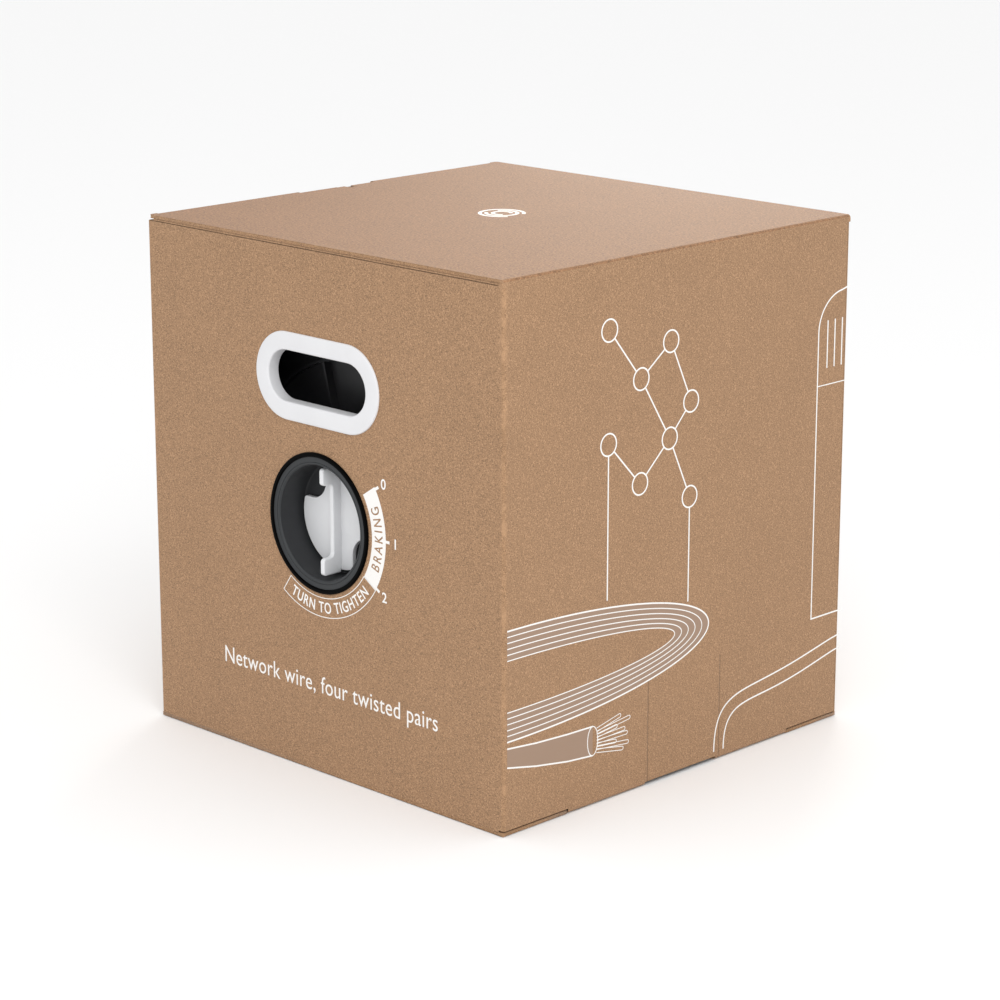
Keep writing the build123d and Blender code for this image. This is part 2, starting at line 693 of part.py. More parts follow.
spring_length = RETAINER_START - PLATE_START - PLATE_THICK - 2 * SPRING_GAP
coil_climb = spring_length - SPRING_WIRE
coil_path = Helix(
    pitch=coil_climb / SPRING_TURNS,
    height=coil_climb,
    radius=SPRING_RADIUS,
    center=(0, inward(PLATE_START + PLATE_THICK + SPRING_GAP + SPRING_WIRE / 2), AXIS_Z),
    direction=(0, 1, 0),
)
with BuildPart() as return_spring:
    with BuildSketch(Plane(origin=coil_path @ 0, z_dir=coil_path % 0)):
        Circle(SPRING_WIRE / 2)
    sweep(path=coil_path, is_frenet=True)
finish(return_spring, "return_spring")

# ---- Reel ----
# Each flange is one moulding, made here as the simple pieces that it is built up from.
with BuildPart() as reel_front_hub:
    spin([
        (HUB_START, HUB_BORE),
        (HUB_START, HUB_RADIUS - REEL_CHAMFER),
        (HUB_START + REEL_CHAMFER, HUB_RADIUS),
        (DISC_START, HUB_RADIUS),
        (DISC_START, HUB_BORE),
    ])
finish(reel_front_hub, "reel_front_hub")
mirrored(reel_front_hub, "reel_rear_hub")

with BuildPart() as reel_front_flange:
    spin([
        (PLATE_OUTSIDE, HUB_RADIUS),
        (PLATE_OUTSIDE, FLANGE_RADIUS),
        (PLATE_INSIDE - REEL_CHAMFER, FLANGE_RADIUS),
        (PLATE_INSIDE, FLANGE_RADIUS - REEL_CHAMFER),
        (PLATE_INSIDE, HUB_RADIUS),
    ])
    with BuildSketch(front_plane(BOLT_SEAT)):
        with Locations((0, AXIS_Z)):
            with PolarLocations(BOLT_CIRCLE, BOLT_COUNT, start_angle=BOLT_START_ANGLE):
                Circle(BOLT_BOSS)
            Circle(HUB_RADIUS, mode=Mode.SUBTRACT)
    extrude(amount=-(PLATE_OUTSIDE - BOLT_SEAT))
    with BuildSketch(front_plane(BOLT_SEAT)):
        with Locations((0, AXIS_Z)):
            with PolarLocations(BOLT_CIRCLE, BOLT_COUNT, start_angle=BOLT_START_ANGLE):
                Circle(BOLT_HOLE)
    extrude(amount=-(PLATE_INSIDE - BOLT_SEAT), mode=Mode.SUBTRACT)
finish(reel_front_flange, "reel_front_flange")
mirrored(reel_front_flange, "reel_rear_flange")

with BuildPart() as reel_front_rim:
    spin([
        (RIB_TOP, FLANGE_RADIUS - FLANGE_RIM),
        (RIB_TOP, FLANGE_RADIUS - REEL_CHAMFER),
        (RIB_TOP + REEL_CHAMFER, FLANGE_RADIUS),
        (PLATE_OUTSIDE, FLANGE_RADIUS),
        (PLATE_OUTSIDE, FLANGE_RADIUS - FLANGE_RIM),
    ])
finish(reel_front_rim, "reel_front_rim")
mirrored(reel_front_rim, "reel_rear_rim")

with BuildPart() as reel_front_ring_rib:
    tube(RING_RIB_TOP, PLATE_OUTSIDE, RING_RIB_RADIUS - RIB_THICK, RING_RIB_RADIUS)
finish(reel_front_ring_rib, "reel_front_ring_rib")
mirrored(reel_front_ring_rib, "reel_rear_ring_rib")

with BuildPart() as reel_front_ribs:
    # Every spoke stops at the ring rib and goes on outside it.
    for inside, outside in (
        (HUB_RADIUS, RING_RIB_RADIUS - RIB_THICK),
        (RING_RIB_RADIUS, FLANGE_RADIUS - FLANGE_RIM),
    ):
        spoke_end = sqrt(outside**2 - RIB_THICK**2 / 4)
        with BuildSketch(front_plane(RIB_TOP)):
            with Locations((0, AXIS_Z)):
                with PolarLocations((inside + spoke_end) / 2, RIB_COUNT, start_angle=RIB_START_ANGLE):
                    Rectangle(spoke_end - inside, RIB_THICK)
        extrude(amount=-(PLATE_OUTSIDE - RIB_TOP))
finish(reel_front_ribs, "reel_front_ribs")
mirrored(reel_front_ribs, "reel_rear_ribs")

with BuildPart() as front_bushing:
    spin([
        (BUSH_HEAD_START, BUSH_BORE),
        (BUSH_HEAD_START, BUSH_HEAD_RADIUS),
        (HUB_START, BUSH_HEAD_RADIUS),
        (HUB_START, HUB_BORE),
        (BUSH_END, HUB_BORE),
        (BUSH_END, BUSH_BORE),
    ])
finish(front_bushing, "front_bushing")
mirrored(front_bushing, "rear_bushing")

with BuildPart() as reel_drum:
    tube(PLATE_INSIDE, DEPTH - PLATE_INSIDE, DRUM_INNER, DRUM_OUTER)
finish(reel_drum, "reel_drum")

with BuildPart() as brake_disc:
    tube(DISC_START, DISC_START + DISC_THICK, DISC_HOLE, DISC_RADIUS)
    with BuildSketch(front_plane(DISC_START)):
        with Locations((0, AXIS_Z)):
            with PolarLocations(BOLT_CIRCLE, BOLT_COUNT, start_angle=BOLT_START_ANGLE):
                Circle(BOLT_HOLE)
    extrude(amount=-DISC_THICK, mode=Mode.SUBTRACT)
finish(brake_disc, "brake_disc")

with BuildPart() as reel_tie_bolts:
    with BuildSketch(front_plane(BOLT_SEAT)):
        with Locations((0, AXIS_Z)):
            with PolarLocations(BOLT_CIRCLE, BOLT_COUNT, start_angle=BOLT_START_ANGLE):
                Circle(BOLT_HEAD_RADIUS)
    extrude(amount=BOLT_HEAD_THICK)
    fillet(reel_tie_bolts.edges().group_by(Axis.Y)[0], BOLT_HEAD_ROUND)
    with BuildSketch(front_plane(BOLT_SEAT - BOLT_HEAD_THICK)):
        with Locations((0, AXIS_Z)):
            with PolarLocations(BOLT_CIRCLE, BOLT_COUNT, start_angle=BOLT_START_ANGLE):
                RegularPolygon(radius=BOLT_SOCKET, side_count=6)
    extrude(amount=-BOLT_SOCKET_DEPTH, mode=Mode.SUBTRACT)
    with BuildSketch(front_plane(BOLT_SEAT)):
        with Locations((0, AXIS_Z)):
            with PolarLocations(BOLT_CIRCLE, BOLT_COUNT, start_angle=BOLT_START_ANGLE):
                Circle(BOLT_RADIUS)
    extrude(amount=-(DEPTH - 2 * BOLT_SEAT + BOLT_HEAD_THICK))
finish(reel_tie_bolts, "reel_tie_bolts")

with BuildPart() as reel_tie_nuts:
    with BuildSketch(front_plane(DEPTH - BOLT_SEAT)):
        with Locations((0, AXIS_Z)):
            with PolarLocations(BOLT_CIRCLE, BOLT_COUNT, start_angle=BOLT_START_ANGLE):
                RegularPolygon(radius=BOLT_HEAD_RADIUS, side_count=6)
            with PolarLocations(BOLT_CIRCLE, BOLT_COUNT, start_angle=BOLT_START_ANGLE):
                Circle(BOLT_RADIUS, mode=Mode.SUBTRACT)
    extrude(amount=-BOLT_HEAD_THICK)
finish(reel_tie_nuts, "reel_tie_nuts")

# ---- Wound cable: one solid of the pack's outer shape ----
with BuildPart() as cable_pack:
    tube(PLATE_INSIDE + PACK_GAP, DEPTH - PLATE_INSIDE - PACK_GAP, DRUM_OUTER, PACK_RADIUS)
finish(cable_pack, "cable_pack")
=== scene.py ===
import random
from contextlib import contextmanager
from math import acos, atan2, cos, degrees, hypot, pi, radians, sin, sqrt, tan

import bmesh
import bpy
from mathutils import Matrix, Vector
from mathutils.geometry import interpolate_bezier


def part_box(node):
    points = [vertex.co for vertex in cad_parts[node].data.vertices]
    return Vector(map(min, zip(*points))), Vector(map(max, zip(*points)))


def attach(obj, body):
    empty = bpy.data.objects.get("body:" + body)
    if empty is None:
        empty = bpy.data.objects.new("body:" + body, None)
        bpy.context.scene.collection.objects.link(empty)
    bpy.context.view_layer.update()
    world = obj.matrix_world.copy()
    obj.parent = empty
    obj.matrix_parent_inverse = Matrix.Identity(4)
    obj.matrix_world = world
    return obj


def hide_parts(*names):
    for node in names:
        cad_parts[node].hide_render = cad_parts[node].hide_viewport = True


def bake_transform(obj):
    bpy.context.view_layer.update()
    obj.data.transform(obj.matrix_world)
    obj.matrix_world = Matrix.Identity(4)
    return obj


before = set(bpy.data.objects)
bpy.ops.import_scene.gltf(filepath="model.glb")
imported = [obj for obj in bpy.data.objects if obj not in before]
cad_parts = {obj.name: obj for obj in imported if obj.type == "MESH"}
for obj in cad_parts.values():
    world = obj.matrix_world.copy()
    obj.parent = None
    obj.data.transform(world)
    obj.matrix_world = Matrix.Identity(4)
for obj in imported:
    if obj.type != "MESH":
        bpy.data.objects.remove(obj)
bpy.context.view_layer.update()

# Looks of the cable spool box: kraft carton, printed artwork, moulded plastics and the wound cable.
# Everything is in metres, in the frame's own axes: the knob faces -Y, the lid's hinge is on +X.

MM = 0.001

# ---- Places and sizes read from the frame ----
lid_low, lid_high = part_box("lid_panel")
bezel_low, bezel_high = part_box("tension_bezel")
grommet_low, grommet_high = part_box("front_handle_grommet")
outlet_low, outlet_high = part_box("cable_outlet_grommet")
pack_low, pack_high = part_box("cable_pack")
spring_low, spring_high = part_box("return_spring")

HALF_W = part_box("right_panel")[1].x
HALF_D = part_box("rear_panel")[1].y
TOP = lid_high.z
WALL_TOP = lid_low.z
WALL_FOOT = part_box("front_panel")[0].z
BOARD = TOP - WALL_TOP
AXIS_Z = (bezel_low.z + bezel_high.z) / 2
HANDLE_Z = (grommet_low.z + grommet_high.z) / 2
OUTLET_Z = (outlet_low.z + outlet_high.z) / 2

# ---- Board ----
LINER = 0.34 * MM
FLUTE_PITCH = 3.4 * MM
FLUTE_STEPS = 8
MEDIUM = 0.22 * MM
FLUTE_RECESS = 0.5 * MM
RIM_SETBACK = 0.12 * MM
FOLD_RADIUS = 2.6 * MM
FOLD_STEPS = 7
TAB_FIRST = (61 * MM, 137 * MM)
TAB_SECOND = (210 * MM, 287 * MM)
LID_FOLD_X = HALF_W - 4.0 * MM


def along_side(distance):
    """Y of a point on a side wall, from its distance to the wall's front corner."""
    return distance - HALF_D


# -------- mesh helpers
def new_object(name, data):
    piece = bpy.data.objects.new(name, data)
    bpy.context.scene.collection.objects.link(piece)
    return piece


def mesh_object(name, verts, faces):
    mesh = bpy.data.meshes.new(name)
    mesh.from_pydata([tuple(v) for v in verts], [], faces)
    mesh.update()
    return new_object(name, mesh)


@contextmanager
def edited(piece):
    """A piece's mesh opened for editing, and written back at the end."""
    bm = bmesh.new()
    bm.from_mesh(piece.data)
    yield bm
    bm.to_mesh(piece.data)
    bm.free()
    piece.data.update()


def recalculate(piece):
    """Point every face outwards and merge doubled points."""
    with edited(piece) as bm:
        bmesh.ops.remove_doubles(bm, verts=bm.verts, dist=1e-7)
        bmesh.ops.recalc_face_normals(bm, faces=bm.faces)


def join(name, pieces):
    """Join mesh objects into the first one and rename it."""
    bpy.ops.object.select_all(action="DESELECT")
    for piece in pieces:
        piece.select_set(True)
    bpy.context.view_layer.objects.active = pieces[0]
    bpy.ops.object.join()
    pieces[0].name = name
    return pieces[0]


def smooth_by_angle(piece, sharp=35):
    """Smooth shading that keeps the edges sharper than this many degrees."""
    with edited(piece) as bm:
        for face in bm.faces:
            face.smooth = True
        for edge in bm.edges:
            edge.smooth = len(edge.link_faces) == 2 and edge.calc_face_angle(0) < radians(sharp)


def solid(name, verts, faces, sharp=35):
    """A closed mesh with its faces outwards, smooth but for the edges sharper than this angle."""
    piece = mesh_object(name, verts, faces)
    recalculate(piece)
    smooth_by_angle(piece, sharp)
    return piece


def quads(rows, columns, wrap_rows=True, wrap_columns=True):
    """Faces between neighbouring rows of points that are numbered row by row."""
    faces = []
    for k in range(rows if wrap_rows else rows - 1):
        here = k * columns
        after = (k + 1) % rows * columns
        for j in range(columns if wrap_columns else columns - 1):
            step = (j + 1) % columns
            faces.append((here + j, here + step, after + step, after + j))
    return faces


def slab(name, loops, thickness, edge=0.0, shrink=0.0):
    """A flat slab about local z = 0, from closed 2D loops; inner loops are holes.

    edge rounds its rim, inside the outline; shrink draws the outline in.
    """
    curve = bpy.data.curves.new(name, "CURVE")
    curve.dimensions = "2D"
    curve.fill_mode = "BOTH"
    curve.extrude = thickness / 2 - edge
    curve.bevel_depth = edge
    curve.bevel_resolution = 3
    curve.offset = -edge - shrink
    for loop in loops:
        spline = curve.splines.new("POLY")
        spline.points.add(len(loop) - 1)
        for point, (u, v) in zip(spline.points, loop):
            point.co = (u, v, 0, 1)
        spline.use_cyclic_u = True
    holder = new_object(name, curve)
    bpy.context.view_layer.update()
    mesh = bpy.data.meshes.new_from_object(holder)
    bpy.data.objects.remove(holder)
    bpy.data.curves.remove(curve)
    return new_object(name, mesh)


def cut_lines(piece, values, axis):
    """Cut a flat slab along lines of constant local u (axis 0) or v (axis 1), so that it can fold."""
    along = Vector((1 - axis, axis, 0))
    with edited(piece) as bm:
        for value in values:
            everything = bm.verts[:] + bm.edges[:] + bm.faces[:]
            bmesh.ops.bisect_plane(bm, geom=everything, plane_co=along * value, plane_no=along, dist=1e-8)


def bend(piece, place):
    """Move each vertex (u, v, w) of a flat piece to place(u, v, w)."""
    for vertex in piece.data.vertices:
        vertex.co = place(*vertex.co)
    piece.data.update()


def arc(centre, radius, start, end, steps=12):
    """Points on a circular arc, angles in degrees."""
    points = []
    for k in range(steps + 1):
        angle = radians(start + (end - start) * k / steps)
        points.append((centre[0] + radius * cos(angle), centre[1] + radius * sin(angle)))
    return points


def circle(centre, radius, steps=96):
    return arc(centre, radius, 0, 360 - 360 / steps, steps - 1)


def stadium(centre, width, height, steps=24):
    """A slot outline: two half circles joined by straight sides."""
    radius = height / 2
    reach = width / 2 - radius
    right = arc((centre[0] + reach, centre[1]), radius, -90, 90, steps)
    left = arc((centre[0] - reach, centre[1]), radius, 90, 270, steps)
    return right + left


def rectangle(low, high):
    return [low, (high[0], low[1]), high, (low[0], high[1])]


def crossings(loops, s, across):
    """Sorted places where the line of constant s crosses the loops, measured along the flutes."""
    found = []
    along = 1 - across
    for loop in loops:
        for k, first in enumerate(loop):
            second = loop[(k + 1) % len(loop)]
            low, high = first[across], second[across]
            if (low <= s < high) or (high <= s < low):
                share = (s - low) / (high - low)
                found.append(first[along] + share * (second[along] - first[along]))
    return sorted(found)


def flutes(name, loops, across, depth, recess=FLUTE_RECESS):
    """The wavy medium of a board, set back from every edge of its loops.

    across is the axis that the waves run over (0 for u, 1 for v); depth is the room between the liners.
    """
    low = min(p[across] for loop in loops for p in loop) + recess
    high = max(p[across] for loop in loops for p in loop) - recess
    columns = int((high - low) / FLUTE_PITCH * FLUTE_STEPS)
    swing = (depth - MEDIUM) / 2
    verts, faces, previous = [], [], []
    for k in range(columns + 1):
        s = low + (high - low) * k / columns
        lift = swing * sin(2 * pi * k / FLUTE_STEPS)
        marks = crossings(loops, s, across)
        column = []
        for start, end in zip(marks[0::2], marks[1::2]):
            if end - start <= 4 * recess:
                continue
            column.append(len(verts))
            for t in (start + recess, end - recess):
                for w in (lift + MEDIUM / 2, lift - MEDIUM / 2):
                    verts.append((s, t, w) if across == 0 else (t, s, w))
        if len(previous) == len(column):
            for a, b in zip(previous, column):
                faces += [(a, b, b + 2, a + 2), (a + 1, a + 3, b + 3, b + 1)]
                faces += [(a, a + 1, b + 1, b), (a + 2, b + 2, b + 3, a + 3)]
        previous = column
    return mesh_object(name, verts, faces)


def board(name, loops, across, place, folds=()):
    """A corrugated board, bent into place: two liners with the wavy medium between.

    place(u, v, w) has w = 0 at the outer face and BOARD at the inner one. folds lists an axis, and the lines
    on it where the liners are cut so that they can turn.
    """
    outer = slab(name + ".outer", loops, LINER)
    inner = slab(name + ".inner", loops, LINER)
    middle = flutes(name + ".medium", loops, across, BOARD - 2 * LINER)
    for axis, lines in folds:
        cut_lines(outer, lines, axis)
        cut_lines(inner, lines, axis)
    for piece, depth in ((outer, LINER / 2), (inner, BOARD - LINER / 2), (middle, BOARD / 2)):
        bend(piece, lambda u, v, w: place(u, v, depth - w))
    piece = join(name, [outer, inner, middle])
    recalculate(piece)
    return piece


def rimmed_board(name, outline, hole, place):
    """A board with a crushed edge: a solid rim between its liners, set back a hair from their edges."""
    reach_u = max(abs(u) for u, v in outline)
    reach_v = max(abs(v) for u, v in outline)
    share_u, share_v = 1 - RIM_SETBACK / reach_u, 1 - RIM_SETBACK / reach_v
    drawn_in = [(u * share_u, v * share_v) for u, v in outline]
    rim = slab(name + ".rim", [drawn_in, hole], BOARD - 2 * LINER)
    bend(rim, lambda u, v, w: place(u, v, BOARD / 2 - w))
    return join(name, [board(name, [outline], 1, place), rim])


def bar(name, section, start, end, axis, sharp=35):
    """A capped prism: a closed (y, z) section pushed along axis 0, or an (x, z) one along axis 1."""
    verts = []
    for place in (start, end):
        verts += [(place, a, b) if axis == 0 else (a, place, b) for a, b in section]
    count = len(section)
    caps = [tuple(range(count)), tuple(range(2 * count - 1, count - 1, -1))]
    return solid(name, verts, caps + quads(2, count, wrap_rows=False), sharp)


def rounded_profile(corners, steps=4):
    """A closed outline from (a, b, radius) corners, each rounded by its radius in millimetres."""
    out = []
    for k, (a, b, radius) in enumerate(corners):
        here = Vector((a, b))
        if radius == 0:
            out.append(tuple(here))
            continue
        to_before = (Vector(corners[k - 1][:2]) - here).normalized()
        to_after = (Vector(corners[(k + 1) % len(corners)][:2]) - here).normalized()
        half = acos(max(-1, min(1, to_before.dot(to_after)))) / 2
        reach = radius * MM / tan(half)
        centre = here + (to_before + to_after).normalized() * (radius * MM / sin(half))
        first = here + to_before * reach - centre
        turn = first.angle_signed(here + to_after * reach - centre)
        for step in range(steps + 1):
            angle = -turn * step / steps
            c, s = cos(angle), sin(angle)
            out.append((centre.x + first.x * c - first.y * s, centre.y + first.x * s + first.y * c))
    return out


def revolved(name, profile, place, steps=160):
    """A closed (depth, radius) outline turned about an axis: place(depth, side, up) gives each point."""
    verts = []
    for k in range(steps):
        angle = 2 * pi * k / steps
        verts += [place(depth, radius * sin(angle), radius * cos(angle)) for depth, radius in profile]
    return solid(name, verts, quads(steps, len(profile)))


def stadium_ring(name, profile, centre_z, reach, radius, steps=40):
    """A closed (y, outward) outline swept round a slot of this half length and radius."""
    verts = []
    for side, start in ((1, -90), (-1, 90)):
        for k in range(steps + 1):
            angle = radians(start + 180 * k / steps)
            for y, out in profile:
                across = side * reach + (radius + out) * cos(angle)
                verts.append((across, y, centre_z + (radius + out) * sin(angle)))
    return solid(name, verts, quads(2 * (steps + 1), len(profile)))


def mount(piece, body, slot, *nodes):
    """Put a piece on its body and hide the CAD nodes that it stands for; slot is not used."""
    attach(piece, body)
    if nodes:
        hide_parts(*nodes)


def dress(piece, material, body, slot, *nodes):
    """Mount a piece and give it its material."""
    piece.data.materials.clear()
    piece.data.materials.append(material)
    mount(piece, body, slot, *nodes)


def rear_twin(piece, name, slot, *nodes):
    """Mirror a front piece of the carton across its middle, for the rear wall."""
    twin = piece.copy()
    twin.data = piece.data.copy()
    twin.name = name
    bpy.context.scene.collection.objects.link(twin)
    twin.data.transform(Matrix.Scale(-1, 4, (0, 1, 0)))
    twin.data.flip_normals()
    mount(twin, "carton", slot, *nodes)


def tone_edges(piece, material):
    """Give the upright faces of a flat board a second material: the walls' tone, so that only its flat faces
    keep their painted shade.
    """
    piece.data.materials.append(material)
    for face in piece.data.polygons:
        if abs(face.normal.z) < 0.5:
            face.material_index = 1


# -------- materials
class Shade:
    """A Principled material with short names for the nodes that these finishes use."""

    def __init__(self, name, roughness, gloss=0.5):
        self.material = bpy.data.materials.new(name)
        self.material.use_nodes = True
        self.tree = self.material.node_tree
        self.shader = self.tree.nodes["Principled BSDF"]
        self.set("Roughness", roughness)
        self.set("Specular IOR Level", gloss)
        self.place = self.node("ShaderNodeTexCoord").outputs["Object"]

    def set(self, socket_name, value):
        self.shader.inputs[socket_name].default_value = value

    def node(self, kind, inputs=(), **settings):
        node = self.tree.nodes.new(kind)
        for key, value in settings.items():
            setattr(node, key, value)
        for key, value in dict(inputs).items():
            if isinstance(value, bpy.types.NodeSocket):
                self.tree.links.new(value, node.inputs[key])
            else:
                node.inputs[key].default_value = value
        return node

    def finished(self, colour, normal, rough=None):
        """The material, with these outputs linked to its shader."""
        for value, socket_name in ((colour, "Base Color"), (normal, "Normal"), (rough, "Roughness")):
            if value is not None:
                self.tree.links.new(value, self.shader.inputs[socket_name])
        return self.material

    def stretched(self, scale):
        """Object coordinates, scaled by a different number on each axis."""
        return self.node("ShaderNodeMapping", {"Vector": self.place, "Scale": scale}).outputs["Vector"]

    def noise(self, scale, detail=2.0, roughness=0.55, place=None):
        inputs = {"Vector": place or self.place, "Scale": scale, "Detail": detail, "Roughness": roughness}
        return self.node("ShaderNodeTexNoise", inputs).outputs["Fac"]

    def range(self, value, low, high, to_low=0.0, to_high=1.0):
        """A value moved from one range to another, with its ends eased and held."""
        inputs = {"Value": value, "From Min": low, "From Max": high, "To Min": to_low, "To Max": to_high}
        return self.node("ShaderNodeMapRange", inputs, interpolation_type="SMOOTHSTEP").outputs["Result"]

    def math(self, operation, first, second=0.0):
        return self.node("ShaderNodeMath", {0: first, 1: second}, operation=operation).outputs[0]

    def times(self, first, second):
        return self.math("MULTIPLY", first, second)

    def mix(self, share, first, second):
        return self.node("ShaderNodeMix", {0: share, 6: first, 7: second}, data_type="RGBA").outputs[2]

    def bump(self, height, distance, strength, under=None):
        inputs = {"Height": height, "Distance": distance, "Strength": strength}
        if under is not None:
            inputs["Normal"] = under
        return self.node("ShaderNodeBump", inputs).outputs["Normal"]


def srgb(*screen):
    """Linear colour from 0-255 screen values."""
    shares = [value / 255 for value in screen]
    return (*[c / 12.92 if c <= 0.04045 else ((c + 0.055) / 1.055) ** 2.4 for c in shares], 1.0)


def toned(tone, share, lift=0.0):
    """A colour made darker or paler, and no brighter than white."""
    return (*[min(1, c * share + lift) for c in tone[:3]], 1)


SCORE_LINES = (along_side(139 * MM), along_side(213 * MM))
SCORE_TOP = 77 * MM


def kraft(name, tone, wave_axis, scored=False, grain=1.0):
    """Brown board: fibre speckle, dark flecks, cloudy tone, faint flute marks, corners painted paler (rubbed
    fibres and a painted highlight) and painted shade in the score lines.
    """
    shade = Shade(name, roughness=0.82, gloss=0.28)
    shade.set("Sheen Weight", 0.10)
    shade.set("Sheen Roughness", 0.5)
    x, y, z = shade.node("ShaderNodeSeparateXYZ", {"Vector": shade.place}).outputs

    fibre_place = shade.stretched((1.0, 1.0, 2.2) if wave_axis != "y" else (2.2, 1.0, 1.0))
    fibre = shade.noise(760.0 * grain, 3.0, 0.7, fibre_place)
    speckle = shade.noise(1300.0 * grain, 2.0, 0.6)
    cloud = shade.noise(26.0, 3.0, 0.6)
    dark = toned(tone, 0.46)
    pale = toned(tone, 1.50, 0.012)
    colour = shade.mix(shade.range(cloud, 0.3, 0.7), toned(tone, 0.975), toned(tone, 1.025))
    colour = shade.mix(shade.range(fibre, 0.54, 0.34, 0.0, 0.85), colour, dark)
    colour = shade.mix(shade.range(speckle, 0.52, 0.66, 0.0, 0.80), colour, pale)

    cells = shade.node("ShaderNodeTexVoronoi", {"Vector": shade.place, "Scale": 75.0})
    chosen = shade.node("ShaderNodeSeparateColor", {"Color": cells.outputs["Color"]}).outputs[0]
    spot = shade.range(cells.outputs["Distance"], 0.045, 0.03)
    fleck = shade.times(spot, shade.range(chosen, 0.70, 0.74, 0.0, 0.75))
    colour = shade.mix(fleck, colour, toned(tone, 0.35))

    # Corners are painted paler: rubbed fibres, and a painted highlight where the rounded corners catch the
    # light.
    along_x = shade.range(shade.math("ABSOLUTE", x), HALF_W - 5 * MM, HALF_W - 0.4 * MM)
    along_y = shade.range(shade.math("ABSOLUTE", y), HALF_D - 5 * MM, HALF_D - 0.4 * MM)
    corner = shade.times(along_x, along_y)
    rub_and_highlight = shade.times(corner, shade.range(shade.noise(90.0, 4.0, 0.7), 0.42, 0.66, 0.0, 0.5))
    colour = shade.mix(rub_and_highlight, colour, pale)

    # The waves of the medium show faintly through the liner.
    run = {"x": x, "y": y, "xy": shade.math("ADD", x, y)}[wave_axis]
    wave = shade.math("SINE", shade.times(run, 2 * pi / FLUTE_PITCH))
    height = shade.math("ADD", shade.times(fibre, 0.6), shade.times(speckle, 0.4))
    normal = shade.bump(wave, 0.03 * MM, 0.35)
    normal = shade.bump(height, 0.10 * MM, 0.55, normal)
    # Score lines: a pressed groove in the bump, and painted shade that darkens the board along it.
    if scored:
        score = 0.0
        for place in SCORE_LINES:
            line = shade.range(shade.math("ABSOLUTE", shade.math("SUBTRACT", y, place)), 0.6 * MM, 0.25 * MM)
            score = shade.math("MAXIMUM", line, score)
        score = shade.times(score, shade.range(z, SCORE_TOP, SCORE_TOP - 1.5 * MM))
        score = shade.times(score, shade.range(x, HALF_W - 1 * MM, HALF_W - 0.5 * MM))
        colour = shade.mix(shade.times(score, 0.55), colour, dark)
        normal = shade.bump(shade.times(score, -1.0), 0.5 * MM, 0.8, normal)
    return shade.finished(colour, normal, shade.range(fibre, 0.2, 0.8, 0.74, 0.92))


def plastic(name, tone, roughness, gloss=0.5, grain=2600.0, depth=0.05, scuff=0.0, mottled=0.05):
    """Moulded plastic: fine spark-eroded grain, slight mottling and, where it is handled, scuffs."""
    shade = Shade(name, roughness, gloss)
    flow = shade.noise(45.0, 3.0, 0.55)
    spark = shade.noise(grain, 2.0, 0.6)
    colour = shade.mix(shade.range(flow, 0.3, 0.7), toned(tone, 1 - mottled), toned(tone, 1 + mottled))
    rough = shade.range(flow, 0.3, 0.7, roughness * 0.9, min(1, roughness * 1.12))
    if scuff:
        lines = shade.noise(900.0, 5.0, 0.75, shade.stretched((1.0, 1.0, 0.10)))
        worn = shade.range(lines, 0.60, 0.74, 0.0, scuff)
        colour = shade.mix(worn, colour, toned(tone, 1.25, 0.03))
        rough = shade.math("ADD", rough, shade.times(worn, 0.25))
    return shade.finished(colour, shade.bump(spark, depth * MM, 0.5), rough)


def metal(name, tone, roughness, brushed=False):
    """Bright metal with drawn lines or a plated mottle."""
    shade = Shade(name, roughness)
    shade.set("Metallic", 1.0)
    place = shade.stretched((1.0, 0.06, 1.0)) if brushed else None
    lines = shade.noise(3200.0 if brushed else 500.0, 3.0, 0.65, place)
    colour = shade.mix(shade.range(lines, 0.35, 0.65), toned(tone, 0.82), tone)
    rough = shade.range(lines, 0.3, 0.7, roughness * 0.8, roughness * 1.3)
    return shade.finished(colour, shade.bump(lines, 0.02 * MM, 0.4), rough)


def friction(name, tone):
    """Pressed friction lining: coarse grains in a dull binder."""
    shade = Shade(name, roughness=0.9)
    grain = shade.node("ShaderNodeTexVoronoi", {"Vector": shade.place, "Scale": 1400.0})
    fine = shade.noise(2600.0, 3.0, 0.7)
    chips = shade.range(grain.outputs["Distance"], 0.1, 0.7)
    colour = shade.mix(chips, toned(tone, 1.7), shade.mix(fine, toned(tone, 0.55), tone))
    return shade.finished(colour, shade.bump(shade.math("ADD", chips, fine), 0.08 * MM, 0.6))


def ink(name, tone, cover):
    """Screen-printed ink on board: the board's speckle shows a little through it."""
    shade = Shade(name, roughness=0.6)
    speckle = shade.noise(1100.0, 3.0, 0.65)
    thin = shade.range(speckle, 0.62, 0.82, 1 - cover, 1 - cover * 0.45)
    return shade.finished(shade.mix(thin, tone, KRAFT_TONE), shade.bump(speckle, 0.04 * MM, 0.4))


def jacket(name, tone):
    """Extruded cable jacket: smooth and slightly waxy, with fine draw lines and dust."""
    shade = Shade(name, roughness=0.38, gloss=0.45)
    dust = shade.noise(160.0, 4.0, 0.65)
    fine = shade.noise(1800.0, 2.0, 0.6)
    colour = shade.mix(shade.range(dust, 0.48, 0.75, 0.0, 0.6), tone, toned(tone, 1.9, 0.012))
    rough = shade.range(dust, 0.4, 0.75, 0.30, 0.62)
    return shade.finished(colour, shade.bump(fine, 0.03 * MM, 0.5), rough)


